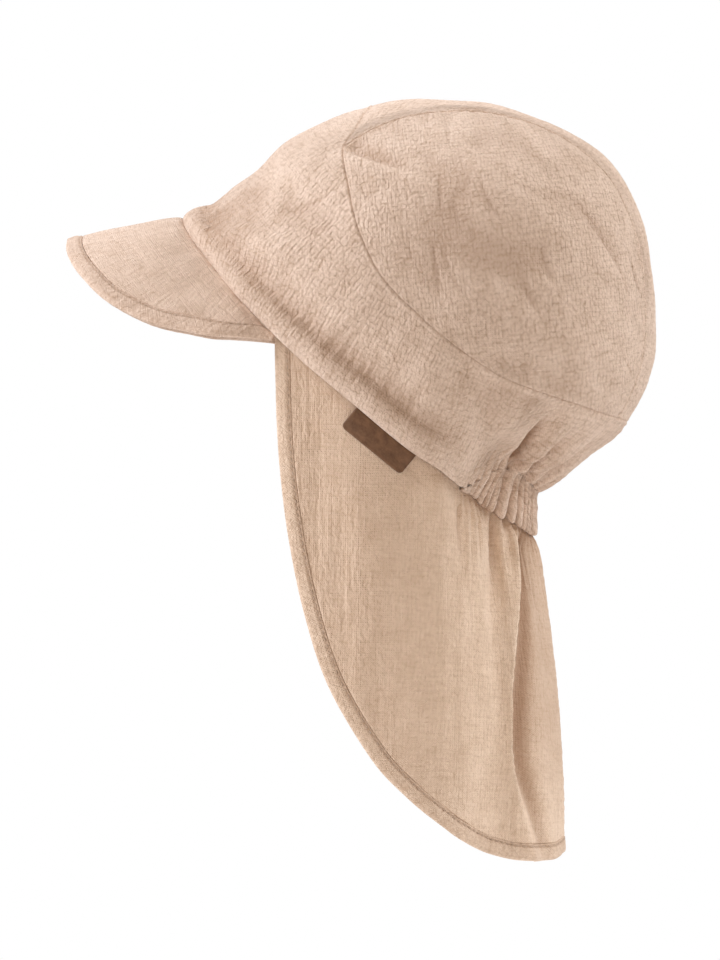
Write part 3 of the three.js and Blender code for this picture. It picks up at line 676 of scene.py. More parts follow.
def band_run(station):
    """The distance round the band from the centre of the front, minus on the wearer's right."""
    return np.interp(np.abs(station), BAND_STEPS, BAND_RUN) * np.sign(station)


def rolled_at(stations):
    """1 where the rim is rolled, 0 behind it."""
    return 1 - ease(np.abs(stations), *ROLL_FADE)


def roll_swell(stations, distance):
    """The swell of the rolled rim, which is flatter over the middle of the peak."""
    flatter = 1 - 0.65 * bell(stations / 1.3)
    profile = read(ROLL_PROFILE, "swell", distance / ROLL_WIDTH)
    return rolled_at(stations) * flatter * ROLL_SWELL * profile


def band_cloth(stations, distance):
    doubled = read(ROLL_PROFILE, "doubled", distance / ROLL_WIDTH)
    return CROWN_CLOTH + doubled * rolled_at(stations) * (ROLL_CLOTH - CROWN_CLOTH)


def band_grid(stations, rows):
    edge, seam = band_edge(stations), band_seam(stations)
    height = length_of(seam - edge)[:, 0]
    v = spread(height - TOUCH, rows)
    u = np.broadcast_to(band_run(stations), v.shape)
    share = v / height
    place, out = on_crown(edge + (seam - edge) * share[..., None])
    rolled = rolled_at(stations)
    swell = roll_swell(stations, v) * (1 + 0.2 * noise(u / 19, 0 * v, 61))
    thickness = band_cloth(stations, v)
    smooth = swell + band_lift(stations, share)
    on_roll = rolled * (1 - ease(v, 0.7 * ROLL_WIDTH, 1.3 * ROLL_WIDTH))
    valley = rolled * bell((v - 1.1 * ROLL_WIDTH) / 6)
    relief = muslin(u, v, 11) * (1 - 0.45 * on_roll) + 0.5 * valley * noise(u / 1.7, v / 9, 23)
    gathered = ease(np.abs(stations), CASING_START + 0.5, CASING_START + 2) * (1 - ease(share, 0.1, 0.8))
    relief = relief + 0.6 * gathered * noise((u - 0.3 * np.sign(u) * v) / 2.2, v / 16, 29)
    sewn = ease(height - v, 0, SEAM_FADE) * ease(BAND_RUN[-1] - np.abs(u), 0, SEAM_FADE)
    relief = relief * dome(v / 2) * sewn
    seams = seam_turn(height - v, u, 31) + seam_turn(BAND_RUN[-1] - np.abs(u), v, 37, 0.15)
    open_edge = 1 - ease(np.abs(stations), CASING_START - 0.5, CASING_START - 0.1)
    turned = 0.5 * thickness * (1 - dome(2 * v / thickness)) * open_edge
    outer = place + out * (smooth + relief + seams - turned)[..., None]
    inner = place + out * (smooth + 0.3 * relief - thickness + turned)[..., None]
    ridge = gather_at(np.abs(stations) + 0.6 * share, 1.0)
    # Painted shade: darker in the folds the elastic pulls in, in the valley above the roll, a little on the
    # lower band where the rim rolls, between the gathers and in the dips of the relief.
    painted_shade = 0.85 * ease(-pulled_in(stations, share), 0.8, 6) + 0.3 * valley
    painted_shade = painted_shade + 0.08 * rolled * (1 - ease(share, 0.1, 0.6))
    painted_shade = painted_shade + 0.3 * gathered * (1 - ridge) / 2 + 0.3 * ease(-relief, 0.1, 1)
    return outer, inner, face_with_uv(u, v, painted_shade)


def crown_band():
    half = BAND_RUN[-1] - 0.01
    run = spread(2 * half, 800)[:, 0] - half
    stations = np.interp(np.abs(run), BAND_RUN, BAND_STEPS) * np.where(run < 0, -1, 1)
    ends = [-LAST - 1, -8.5, -3.6, 3.6, 8.5, LAST + 1]
    counts = [58, 84, 120, 84, 58]
    spans = [
        (stations[(stations >= low) & (stations < high)], count)
        for low, high, count in zip(ends, ends[1:], counts)
    ]
    piece = cloth_wall("crown_band_muslin", crown_cotton, band_grid, spans, (stations[::3], 40))
    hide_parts("crown_band")
    return piece


# Hood: two side panels and the top strip
def strip_side_line():
    """The top strip's edge on the wearer's left, read at a share of its length from the front corner."""
    turn = np.radians(STRIP_EDGE["pitch"])
    aside = STRIP_EDGE["side"] * STRIP_HALF_WIDTH
    inwards = 1 - (aside / CROWN_HALF_WIDTH) ** CROWN_FULLNESS
    reach = outline_at(STRIP_EDGE["pitch"]) * inwards ** (1 / CROWN_FULLNESS)
    spots = vector(aside, reach * np.cos(turn), reach * np.sin(turn)) + CROWN_MIDDLE
    corners = band_seam(np.array([STRIP_FRONT, STRIP_BACK]))
    line = smooth_line(np.concatenate([corners[:1], spots, corners[1:]]))
    index = np.linspace(0, len(spots) + 1, 201)
    distance = along(line(index))
    return lambda share: on_crown(line(np.interp(share * distance[-1], distance, index)))[0]


strip_side = strip_side_line()
HOOD_STEPS = np.linspace(STRIP_FRONT, STRIP_BACK, 300)
HOOD_RUN = along(band_seam(HOOD_STEPS))


def panel_cloth(place):
    """The side panel laid flat round its middle: back and up."""
    ray = unit(place - CROWN_MIDDLE)
    turn = np.arccos(np.clip(np.abs(ray[..., 0]), 0, 1))
    scale = PANEL_RADIUS * turn / np.maximum(np.sin(turn), 1e-6)
    return ray[..., 1] * scale, ray[..., 2] * scale


def corner_crease(place):
    """The hollow over a sharp crease that runs back and down from the panel's front corner."""
    corner = band_seam(np.array([STRIP_FRONT]))[0]
    back = place[..., 1] - corner[1]
    over = place[..., 2] - corner[2] + CORNER_CREASE["fall"] * back
    run = ease(back, -2, 6) * (1 - ease(back, 12, CORNER_CREASE["length"]))
    ridge = 0.5 * bell((over + 3.5) / 2.5)
    dip = one_sided(over, CORNER_CREASE["below"], CORNER_CREASE["above"])
    return (ridge - CORNER_CREASE["depth"] * dip) * run


def panel_grid(seed):
    def grid(run, rows):
        stations = np.interp(run, HOOD_RUN, HOOD_STEPS)
        seam, side = band_seam(stations), strip_side(run / HOOD_RUN[-1])
        height = length_of(side - seam)[:, 0]
        v = spread(height - 2 * TOUCH, rows) + TOUCH
        place, out = on_crown(seam + (side - seam) * (v / height)[..., None])
        smooth = corner_crease(place) * ease(v, 0, 4) * ease(height - v, 0, 8)
        cloth = panel_cloth(place)
        lean = 0.15 + 0.45 * ease(cloth[0], -20, 60)
        edge = ease(v, 0, SEAM_FADE) * ease(height - v, 0, SEAM_FADE)
        relief = muslin(cloth[0] + lean * cloth[1], cloth[1], seed) * edge
        seams = seam_turn(v, run + 0 * v, seed + 40, 0.1) + seam_turn(height - v, run + 0 * v, seed + 50, 0.1)
        outer = place + out * (smooth + relief + seams)[..., None]
        inner = place + out * (smooth + 0.3 * relief - CROWN_CLOTH)[..., None]
        # Painted shade in the corner crease and in the dips of the relief.
        painted_shade = 0.3 * ease(-smooth, 0.3, 2) + 0.3 * ease(-relief, 0.1, 1)
        return outer, inner, face_with_uv(*cloth, painted_shade)

    return grid


def side_panel(name, hand, seed):
    left = panel_grid(seed)

    def grid(run, rows):
        outer, inner, cloth = left(run, rows)
        return (mirrored(outer), mirrored(inner), cloth) if hand < 0 else (outer, inner, cloth)

    run = spread(HOOD_RUN[-1] - 1, 400)[:, 0] + 0.5
    piece = cloth_wall(name + "_muslin", crown_cotton, grid, [(run, 122)], (run[::3], 40))
    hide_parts(name)
    return piece


def strip_middle(across, share):
    """The smooth strip at shares of its half width and of its length, before it is put on the crown."""
    front = band_seam(STRIP_FRONT * across)
    back = band_seam(np.where(across < 0, -1, 1) * (LAST - (LAST - STRIP_BACK) * np.abs(across)))
    corners = band_seam(np.array([STRIP_FRONT, STRIP_BACK]))

    def straight(side):
        return vector(across * side[..., 0], side[..., 1], side[..., 2])

    fore, aft = front - straight(corners[0]), back - straight(corners[1])
    side = strip_side(share)
    return straight(side) + fore * (1 - share)[..., None] + aft * share[..., None]


STRIP_SHARES = np.linspace(0, 1, 300)
STRIP_RUN = along(on_crown(strip_middle(0 * STRIP_SHARES, STRIP_SHARES))[0])


def strip_grid(run, rows):
    share = np.interp(run, STRIP_RUN, STRIP_SHARES)
    width = 2 * strip_side(share)[:, 0]
    u = spread(width - 2 * TOUCH, rows) + TOUCH
    across = 1 - 2 * u / width
    share, v = np.broadcast_to(share, u.shape), np.broadcast_to(run, u.shape)
    place, out = on_crown(strip_middle(across, share))
    inwards = np.minimum(u, width - u)
    edge = ease(inwards, 0, SEAM_FADE) * ease(v, 0, SEAM_FADE) * ease(STRIP_RUN[-1] - v, 0, SEAM_FADE)
    relief = muslin(u - width / 2, v, 71) * edge
    seams = seam_turn(inwards, v, 72) + seam_turn(v, u, 73, 0) + seam_turn(STRIP_RUN[-1] - v, u, 74, 0)
    outer = place + out * (relief + seams)[..., None]
    inner = place + out * (0.3 * relief - CROWN_CLOTH)[..., None]
    # The third value is painted shade in the dips of the relief.
    return outer, inner, face_with_uv(u - width / 2, v, 0.3 * ease(-relief, 0.1, 1))


def top_strip():
    run = spread(STRIP_RUN[-1] - 2 * TOUCH, 330)[:, 0] + TOUCH
    piece = cloth_wall("top_strip_muslin", crown_cotton, strip_grid, [(run, 120)], (run[::3], 34))
    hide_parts("top_strip")
    return piece


# Elastic casing
def casing_spot(station, share):
    """Spots of the casing's smooth face; share is 0 at the band and 1 at the lower edge."""
    share = share + 0 * station
    drop = CASING_HEIGHT * read(CASING_SHAPE, "height", np.abs(station))
    lean = drop * read(CASING_SHAPE, "lean", np.abs(station))
    edge = band_edge(station)
    place, out = on_crown(edge)
    top = place + out * (band_lift(station, 0) * (1 - ease(share, 0, 0.5)))[..., None]
    fall = vector(0 * drop, -lean, -drop)
    onward = unit(edge - band_seam(station)) * length_of(fall)
    bend = 0.6 * (share * (1 - share) ** 2)[..., None]
    return top + fall * share[..., None] + (onward - fall) * bend


def casing_out(station):
    near = 0.05
    run = casing_spot(station + near, 1) - casing_spot(station - near, 1)
    down = casing_spot(station, 1) - casing_spot(station, 0.5)
    return unit(np.cross(down, run))


def casing_grid(turns, rows):
    """Turns run round the back of the casing, from its end on the wearer's left to its end on the right."""
    station = LAST - np.abs(turns)
    drop = length_of(casing_spot(station, 1) - casing_spot(station, 0))[:, 0]
    v = spread(drop - TOUCH, rows) + TOUCH
    share = v / drop
    u = np.broadcast_to(turns * CASING_PITCH, v.shape)
    bumps = 1 + 0.06 * (gather_at(station, 0.6) - 0.3) * ease(share, 0.5, 1)
    place = casing_spot(np.broadcast_to(station, v.shape), share * bumps)
    out = np.broadcast_to(casing_out(station), place.shape)
    deep = ease(drop, 2, 9)
    ridges = 0.5 * RIDGE_HEIGHT * ease(share, 0, 0.4) * deep
    lift = CASING_SWELL * np.sin(np.pi * share) + ridges * gather_at(station)
    sharp = ridges * (1.5 * gather_at(station, 1.0) - gather_at(station) - 0.5)
    crumple = 0.5 * noise(u / 2.2, v / 12, 81) + 0.25 * noise(u / 1.5, v / 3, 82)
    crumple = crumple * dome(share / 0.15) * dome((1 - share) / 0.1) * deep
    turned = 0.5 * CASING_CLOTH * (1 - dome(2 * (drop - v) / CASING_CLOTH))
    outer = place + out * (lift + sharp + crumple - turned)[..., None]
    inner = place + out * (lift - CASING_CLOTH)[..., None]
    # Painted shade between the gathers, darker towards the lower edge.
    between = ((1 - gather_at(station, 1.0)) / 2) ** 1.5
    painted_shade = (0.45 + 0.3 * ease(share, 0.6, 1)) * between * dome(share / 0.1)
    flip = np.where(turns[:, None] > 0, [-1, 1, 1], [1, 1, 1])
    return outer * flip, inner * flip, face_with_uv(u, v, painted_shade)


def elastic_casing():
    reach = LAST - CASING_START
    turns = np.linspace(-reach, reach, 521)
    piece = cloth_wall("elastic_casing_muslin", crown_cotton, casing_grid, [(turns, 36)], (turns[::4], 10))
    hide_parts("elastic_casing")
    return piece


# Peak
def peak_line(station):
    side = np.sign(station)
    edge, out = on_crown(band_edge(station))
    down = unit(edge - band_seam(station))
    aside, ahead, fall = (
        PEAK_LENGTH * read(PEAK_SHAPE, name, np.abs(station)) for name in ("aside", "ahead", "fall")
    )
    return edge + down * SEAM_GAP - out * PEAK_TUCK, edge + vector(side * aside, -ahead, -fall)


def peak_place(station, share):
    root, outer = peak_line(station)
    full = 1 - ease(np.abs(station), 2.5, 3.6)
    arch = PEAK_CAMBER * 4 * share * (1 - share) + 1.7 * full * dome(share / 0.07) * bell(share / 0.35)
    return root + (outer - root) * share[..., None] + vector(0 * arch, 0, arch)


def peak_cloth(station):
    """The peak's thickness, which thins out where its ends run under the rim."""
    return PEAK_THICKNESS * (1 - 0.8 * ease(np.abs(station), 3.3, PEAK_END))


def peak_spot(station, share):
    """Spots of the peak's upper face and the way up out of it."""
    near = 0.02
    run = peak_place(station + near, share) - peak_place(station - near, share)
    ahead = peak_place(station, share + near) - peak_place(station, share - near)
    out = unit(np.cross(ahead, run))
    return peak_place(station, share), out * np.where(out[..., 2:] < 0, -1, 1)


def peak_length(station):
    root, outer = peak_line(station)
    return length_of(outer - root)[..., 0]


PEAK_STEPS = np.linspace(-PEAK_END, PEAK_END, 400)
PEAK_RUN = along(peak_line(PEAK_STEPS)[1])


def peak_grid(stations, rows):
    length = peak_length(stations)
    v = spread(np.maximum(length - BINDING_WIDTH - TOUCH, 0.2), rows)
    station = np.broadcast_to(stations, v.shape)
    place, out = peak_spot(station, v / length)
    u = np.broadcast_to(np.interp(stations, PEAK_STEPS, PEAK_RUN) - PEAK_RUN[-1] / 2, v.shape) * 0.85
    left = np.maximum(length - BINDING_WIDTH - v, 0)
    relief = 0.45 * muslin(v, u, 91) * dome(left / 3) * dome(v / 2)
    stitched = -0.35 * (1 - dome(left / 1.2))
    outer = place + out * (relief + stitched)[..., None]
    inner = place - out * (peak_cloth(station) + relief + stitched)[..., None]
    return outer, inner, face_with_uv(u, v)


def peak():
    run = np.linspace(0.6, PEAK_RUN[-1] - 0.6, 301)
    stations = np.interp(run, PEAK_RUN, PEAK_STEPS)
    piece = cloth_wall("peak_muslin", peak_cotton, peak_grid, [(stations, 52)], (stations, 52))
    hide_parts("peak")
    return piece


# Bias binding and its stitches
def section(half_cloth, cell=0.45):
    """Round a binding's section, from its inner edge over the face and back under: way across, and height."""
    across = spread(BINDING_WIDTH, int(BINDING_WIDTH / cell) - 6, (0, 0.1, 0.35, 0.8))[:, 0]
    swell = BINDING_SWELL * (0.55 + 0.45 * np.sin(np.pi * across / BINDING_WIDTH))
    stitched = 0.4 * bell((across - 1.1) / 0.5)
    height = (half_cloth + swell - stitched) * dome(across / 0.5) * dome((BINDING_WIDTH - across) / 1.5)
    return np.concatenate([across, across[-2:0:-1]]), np.concatenate([height, -height[-2:0:-1]])


def binding(name, material, spot, run, half_cloth, seed):
    """A binding swept along; spot(run, across) gives places in the middle of the cloth and the way out."""
    across, height = section(half_cloth)
    place, out = spot(*np.meshgrid(run, across))
    u, v = run[None, :] + 0 * across[:, None], across[:, None] + 0 * run[None, :]
    side = np.sign(height)[:, None]
    bias = (u + v) / np.sqrt(2), (v - u) / np.sqrt(2)
    relief = 0.16 * noise(bias[0] / 1.6, bias[1] / 3, seed) + 0.14 * noise(u / 3, v / 6, seed + 1)
    relief = relief + 0.12 * noise(u / 9, v / 20, seed + 2)
    thick = np.clip(np.abs(height) / half_cloth, 0, 1)[:, None]
    points = place + out * (height[:, None] + side * relief * thick)[..., None]
    shape = Shape()
    # Painted shade: a little over the whole binding, and more in the stitched groove.
    cloth = face_with_uv(*bias, 0.12 + 0.5 * bell((v - 1.1) / 0.5))
    numbers = shape.add(points, cloth)
    shape.face(np.concatenate([numbers, numbers[:1]]))
    shape.polygons.append(numbers[:, :1].T)
    shape.polygons.append(numbers[::-1, -1:].T)
    return shape.make(name, material)


def stitches(name, spot, start, end, across, half_cloth):
    """Two rows of short threads, one on each face, sunk into the cloth at their ends."""
    shape = Shape()
    count = int((end - start) / STITCH_PITCH)
    starts = np.linspace(start, end - STITCH_PITCH, count)
    turn = np.linspace(0, 2 * np.pi, 7)[:-1]
    steps = np.linspace(0, 1, 6)
    radius = THREAD_RADIUS * (0.45 + 0.55 * np.sin(np.pi * steps))
    bow = 0.22 * np.sin(np.pi * steps) - 0.12
    for face in (1, -1):
        for first in starts:
            run = first + STITCH_LENGTH * steps[:, None] + 0 * turn
            aside = across + radius[:, None] * np.cos(turn)
            place, out = spot(run, aside)
            lift = face * (half_cloth + bow[:, None] + radius[:, None] * np.sin(turn))
            numbers = shape.add(place + out * lift[..., None], face_with_uv(run, aside))
            shape.face(np.concatenate([numbers, numbers[:, :1]], axis=1), flip=face < 0)
            shape.polygons.append(numbers[:1] if face < 0 else numbers[:1, ::-1])
            shape.polygons.append(numbers[-1:, ::-1] if face < 0 else numbers[-1:])
    piece = shape.make(name, thread_cotton)
    return piece


def peak_edge_spot(run, across):
    station = np.interp(run, PEAK_RUN, PEAK_STEPS)
    share = 1 - (BINDING_WIDTH - across) / peak_length(station)
    place, out = peak_spot(station, np.maximum(share, 0.002))
    thin = peak_cloth(station) / PEAK_THICKNESS
    return place - out * (0.5 * peak_cloth(station))[..., None], out * thin[..., None]


def peak_binding():
    run = np.linspace(0.4, PEAK_RUN[-1] - 0.4, 420)
    piece = binding("peak_binding_cloth", peak_binding_cotton, peak_edge_spot, run, 0.5 * PEAK_THICKNESS, 101)
    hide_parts("peak_binding")
    row = stitches("peak_stitches", peak_edge_spot, 14, PEAK_RUN[-1] - 14, 1.1, 0.5 * PEAK_THICKNESS)
    return piece, row


# Neck flap
HANG_GAP = SEAM_GAP + BINDING_SWELL


def hanging_line():
    """The line inside the rim that the flap hangs from, from the centre of the back to the temple."""
    station = np.linspace(LAST, FLAP_START, 49)
    edge, seam = band_edge(station), band_seam(station)
    height = length_of(seam - edge)[:, 0]
    foot = np.full(station.shape, SEAM_GAP / 2)
    rim, out = on_crown(edge + (seam - edge) * (foot / height)[:, None])
    lift = roll_swell(station, foot) + band_lift(station, foot / height)
    inside = rim - out * (band_cloth(station, foot) - lift)[:, None]
    low = casing_spot(station, 1)
    under = low - casing_out(station) * CASING_CLOTH
    cased = ease(station, CASING_START - 0.9, CASING_START + 0.1)
    place = inside + (under - inside) * cased[:, None]
    place[0, 0] = 0
    height = rim[:, 2] + (low - rim)[:, 2] * cased
    run = along(place[:, :2])
    return {"station": station, "x": place[:, 0], "y": place[:, 1], "rim": height, "along": run}


HANG = hanging_line()
HANG_LENGTH = HANG["along"][-1]
BINDING_REACH = BINDING_WIDTH + TOUCH


def hang_at(column, at):
    return value_at(HANG["along"], HANG[column], np.abs(at))


def along_at(station):
    return float(value_at(HANG["station"][::-1], HANG["along"][::-1], station))


def flap_folds(at, drop):
    """The long fold down the back corner, sharp behind its crest, and the short ones under the casing."""
    aside, grown = np.abs(at), ease(drop, 0, 9)
    past = aside - read(FLAP_CREST, "aside", drop)
    crest = np.exp(-np.abs(past) / np.where(past > 0, 8, 2)) - 1.15 * bell((past + 7) / 4.5)
    crest = crest - 0.9 * bell((past - 11) / 4) * (1 - ease(drop, 15, 60))
    folds = 3.6 * crest * (1 - 0.5 * ease(drop, 95, 140))
    for place, behind, ahead, lift, fades in FLAP_FOLDS:
        fade = 1 - ease(drop, 0.3 * fades, fades)
        folds = folds + lift * fade * one_sided(aside - place, behind, ahead)
    return folds * grown


def flap_place(at, height):
    """Spots of the flap's outer face, at a distance along from the centre of the back and a height."""
    near = 0.5
    before, after = at - near, at + near
    x = [np.sign(spot) * hang_at("x", spot) for spot in (before, at, after)]
    out = unit(vector(hang_at("y", before) - hang_at("y", after), x[2] - x[0], 0))
    station = hang_at("station", at)
    share = np.maximum(0, hang_at("rim", at) - height) / FLAP_DROP
    flare = FLAP_FLARE * read(FLARE_SHAPE, "share", station) * (1 - np.maximum(0, 1 - share) ** 2.4)
    offset = flare + flap_folds(at, share * FLAP_DROP) - HANG_GAP + 0.5 * ease(station, 8, 10)
    return vector(x[1], hang_at("y", at), height) + out * offset[..., None]


def flap_spot(at, height):
    near = 0.4
    run = flap_place(at + near, height) - flap_place(at - near, height)
    up = flap_place(at, height + near) - flap_place(at, height - near)
    return flap_place(at, height), unit(np.cross(up, run))


def free_edge_line():
    """The flap's free edge laid flat, from the left temple round the hem to the right one, by its length."""
    run = FLAP_EDGE["forward"] * HANG_LENGTH
    height = hang_at("rim", run) - FLAP_EDGE["drop"] * FLAP_DROP
    points = np.stack([np.concatenate([run, -run[-2::-1]]), np.concatenate([height, height[-2::-1]])], axis=1)
    padded = np.concatenate([points[:1], points, points[-1:]])

    def at(index):
        i = np.clip(np.floor(index).astype(int), 0, len(points) - 2)
        t = (index - i)[..., None]
        a, b, c, d = (padded[i + step] for step in range(4))
        leave, arrive = (c - a) / 2, (d - b) / 2
        return bent(b, c, leave, arrive, t)

    index = np.linspace(0, len(points) - 1, 1200)
    distance = along(at(index))
    return distance[-1], lambda run: at(np.interp(run, distance, index))


EDGE_LENGTH, free_edge = free_edge_line()


def in_from_edge(run, distance):
    """A point of the flat flap, this far in from the free edge."""
    near = 0.3
    step = unit(free_edge(np.minimum(run + near, EDGE_LENGTH)) - free_edge(np.maximum(run - near, 0)))
    inwards = np.stack([step[..., 1], -step[..., 0]], axis=-1)
    return free_edge(run) + inwards * np.asarray(distance)[..., None]


def edge_run(at):
    """How far along the free edge the flap's columns run down to."""
    share = read(FLAP_FAN, "share", np.abs(at) / (HANG_LENGTH - BINDING_REACH)) / 2
    return EDGE_LENGTH * np.where(at < 0, 1 - share, share)


TAB_FRONT = along_at(TAB_STATION)
TAB_BACK = TAB_FRONT - 0.78 * TAB_LENGTH


def tab_axes():
    start = np.array([TAB_FRONT, float(hang_at("rim", TAB_FRONT))])
    run = unit(np.array([TAB_BACK, float(hang_at("rim", TAB_BACK))]) - start)
    return start, run, np.array([-run[1], run[0]])


def flap_relief(u, height, drop):
    """Soft slack, slubs and small puckers; the cloth lies flat under the tab."""
    start, run, down = tab_axes()
    middle = start + run * TAB_LENGTH / 2 + down * TAB_HEIGHT / 2
    away = np.hypot((u - middle[0]) / (0.7 * TAB_LENGTH), (height - middle[1]) / (0.8 * TAB_LENGTH))
    free = ease(away, 0.75, 1.3)
    slack = 0.9 * noise(u / 15, height / 70, 121) + 0.5 * noise(u / 9, height / 40, 122)
    slack = slack * ease(drop, 2, 40)
    slubs = 0.16 * (noise(u / 1.6, height / 22, 123) + 0.7 * noise(u / 16, height / 1.8, 124))
    crumple = 0.3 * (puckers(u, height, 125, 2.6) - 0.6)
    return free * slack + (0.3 + 0.7 * free) * (slubs + crumple)


def flap_grid(at, rows):
    rim = hang_at("rim", at)
    top = np.stack([at, rim + FLAP_TUCK], axis=-1)
    low = in_from_edge(edge_run(at), BINDING_REACH)
    height = length_of(low - top)[:, 0]
    v = spread(height, rows, ends=(False, True))
    flat = top + (low - top) * (v / height)[..., None]
    u, z = flat[..., 0], flat[..., 1]
    station = hang_at("station", at)
    drop = hang_at("rim", u) - z
    gathers = 0.5 * RIDGE_HEIGHT * gather_at(station) * (1 - ease(drop, 0, 0.8 * GATHER_FADE))
    fine = ease(station, CASING_START - 0.5, CASING_START + 1) * ease(drop, 0, 3)
    fine = fine * (1 - ease(drop, 0, GATHER_FADE))
    gathers = gathers + 0.7 * fine * noise(u / 2.2, z / 28, 126)
    tucked = ease(drop, -FLAP_TUCK, 3)
    bound = dome((height - v) / 3)
    relief = flap_relief(u, z, drop) * tucked * bound - 0.25 * (1 - dome((height - v) / 1.2))
    place, out = flap_spot(u, z)
    outer = place + out * (gathers + relief)[..., None]
    inner = place + out * (gathers + relief * 0.8 - FLAP_CLOTH)[..., None]
    folds = flap_folds(u, drop) + gathers
    # Painted shade in the fold valleys, a painted shadow just under the casing and under the rim, painted
    # shade behind the long fold's crest, and painted shadow towards the front under the peak.
    painted_shade = 0.55 * ease(-folds, 0.3, 3.5) + 0.35 * bell((drop - 1) / 4) * ease(station, 8.5, 10)
    behind = ease(read(FLAP_CREST, "aside", drop) - np.abs(u), 1, 7)
    painted_shade = painted_shade + 0.3 * behind * (1 - ease(drop, 75, 125))
    painted_shade = painted_shade + 0.24 * ease(np.abs(u) / HANG_LENGTH, 0.3, 0.9) + 0.15 * bell(drop / 7)
    return outer, inner, face_with_uv(u, z, painted_shade)


def neck_flap():
    reach = HANG_LENGTH - BINDING_REACH
    steps = np.linspace(-reach, reach, 1200)
    edge = in_from_edge(edge_run(steps), BINDING_REACH)
    measure = along(np.stack([steps, 0 * steps], axis=1)) + along(edge)
    columns = np.interp(np.linspace(0, measure[-1], 501), measure, steps)
    piece = cloth_wall("neck_flap_muslin", flap_cotton, flap_grid, [(columns, 150)], (columns[::3], 50))
    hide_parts("neck_flap")
    return piece


def flap_edge_spot(run, across):
    flat = in_from_edge(run, BINDING_WIDTH - across)
    place, out = flap_spot(flat[..., 0], flat[..., 1])
    return place - out * (0.5 * FLAP_CLOTH), out


def flap_binding():
    run = np.linspace(0, EDGE_LENGTH, 1000)
    piece = binding("flap_binding_cloth", binding_cotton, flap_edge_spot, run, 0.5 * FLAP_CLOTH, 141)
    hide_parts("flap_binding")
    row = stitches("flap_stitches", flap_edge_spot, 2, EDGE_LENGTH - 2, 1.1, 0.5 * FLAP_CLOTH + 0.1)
    return piece, row


# Leather tab
def tab_grid(columns, rows):
    start, run, down = tab_axes()
    corner = np.maximum(0, TAB_CORNER - np.minimum(columns, TAB_LENGTH - columns))
    low = TAB_HEIGHT - TAB_CORNER + np.sqrt(np.maximum(TAB_CORNER**2 - corner**2, 0))
    tuck = 2.4
    v = spread(low + tuck, rows) - tuck
    u = np.broadcast_to(columns, v.shape)
    flat = start + run * u[..., None] + down * (TAB_GAP + v)[..., None]
    place, out = flap_spot(flat[..., 0], flat[..., 1])
    border = np.minimum.reduce([u, TAB_LENGTH - u, low - v])
    pressed = -0.14 * bell((border - 1.5) / 0.28)
    grain = 0.05 * noise(u / 0.9, v / 0.9, 151)
    thick = TAB_THICKNESS * (1 - 0.6 * (1 - ease(v, -tuck, 0.6)))
    round_off = 0.5 * thick * (1 - dome(border / (0.5 * thick)))
    back = 0.12 + (SEAM_GAP - 0.12) * ease(v, 0, 3) + 0.25 * ease(u, 0.2 * TAB_LENGTH, 0)
    outer = place + out * (back + thick - round_off + pressed + grain)[..., None]
    inner = place + out * (back + round_off)[..., None]
    return outer, inner, face_with_uv(u, v)


def label():
    columns = spread(TAB_LENGTH, 70)[:, 0]
    piece = cloth_wall("label_leather", tab_leather, tab_grid, [(columns, 24)], (columns[::2], 12))
    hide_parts("label")
    return piece


# The whole cap
band = crown_band()
panels = [side_panel("side_panel_left", 1, 13), side_panel("side_panel_right", -1, 17)]
strip = top_strip()
casing = elastic_casing()
peak_panel = peak()
peak_edge, peak_row = peak_binding()
flap = neck_flap()
flap_edge, flap_row = flap_binding()
label()


# Picture
def look_at(thing, target):
    thing.rotation_euler = (Vector(target) - thing.location).to_track_quat("-Z", "Y").to_euler()


def camera():
    data = bpy.data.cameras.new("camera")
    data.sensor_width = SENSOR
    data.sensor_fit = "HORIZONTAL"
    data.lens = SENSOR * CAMERA_DISTANCE / PICTURE_WIDTH
    data.clip_end = 50
    seen = bpy.data.objects.new("camera", data)
    bpy.context.scene.collection.objects.link(seen)
    seen.location = (CAMERA_DISTANCE, PICTURE_MIDDLE[1], PICTURE_MIDDLE[2])
    look_at(seen, PICTURE_MIDDLE)
    bpy.context.scene.camera = seen


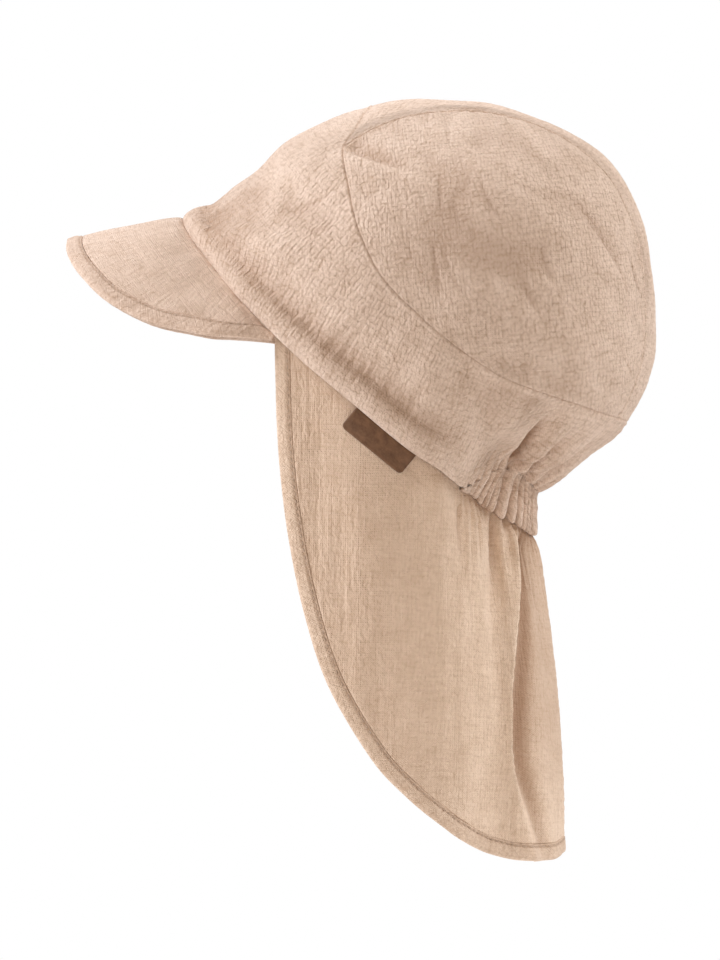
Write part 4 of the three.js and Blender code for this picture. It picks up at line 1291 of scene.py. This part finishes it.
def softbox(name, place, size, power, colour=(1, 1, 1)):
    data = bpy.data.lights.new(name, "AREA")
    data.shape = "SQUARE"
    data.size = size
    data.energy = power
    data.color = colour
    light = bpy.data.objects.new(name, data)
    bpy.context.scene.collection.objects.link(light)
    light.location = place
    light.visible_camera = False
    look_at(light, LIT)


def studio():
    """A plain white studio: soft boxes ahead, behind, above and beside, and a pale floor."""
    softbox("key", (0.25, -1.5, 0.75), 0.9, 34, (0.95, 1.01, 1.12))
    softbox("back", (-0.1, 1.4, 0.95), 0.9, 25, (0.95, 1.0, 1.07))
    softbox("top", (-0.1, 0.1, 1.5), 1.0, 3, (0.98, 1.0, 1.04))
    softbox("side", (1.8, -0.2, 0.2), 1.0, 5.2, (1, 0.88, 0.77))
    softbox("far_side", (-1.6, 0, 0.3), 1.2, 10)
    world = bpy.data.worlds.new("studio")
    bpy.context.scene.world = world
    world.use_nodes = True
    tree = world.node_tree
    tree.nodes.clear()
    seen = tree.nodes.new("ShaderNodeLightPath").outputs["Is Camera Ray"]
    soft, white = tree.nodes.new("ShaderNodeBackground"), tree.nodes.new("ShaderNodeBackground")
    soft.inputs["Color"].default_value = (1, 0.8, 0.64, 1)
    soft.inputs["Strength"].default_value = 0.33
    white.inputs["Strength"].default_value = 1.0
    white.inputs["Color"].default_value = (1, 1, 1, 1)
    mixed = tree.nodes.new("ShaderNodeMixShader")
    for socket, source in zip(mixed.inputs, (seen, soft.outputs[0], white.outputs[0])):
        tree.links.new(source, socket)
    tree.links.new(mixed.outputs[0], tree.nodes.new("ShaderNodeOutputWorld").inputs[0])
    bpy.ops.mesh.primitive_circle_add(
        vertices=96, radius=FLOOR_RADIUS, fill_type="NGON", location=(0, 0, FLOOR_HEIGHT),
    )
    floor = bpy.context.object
    floor.name = "floor"
    paint = bpy.data.materials.new("floor")
    paint.use_nodes = True
    paint.node_tree.nodes["Principled BSDF"].inputs["Base Color"].default_value = (0.9, 0.9, 0.9, 1)
    paint.node_tree.nodes["Principled BSDF"].inputs["Roughness"].default_value = 0.9
    floor.data.materials.append(paint)
    bpy.context.scene.view_settings.view_transform = "Standard"


camera()
studio()
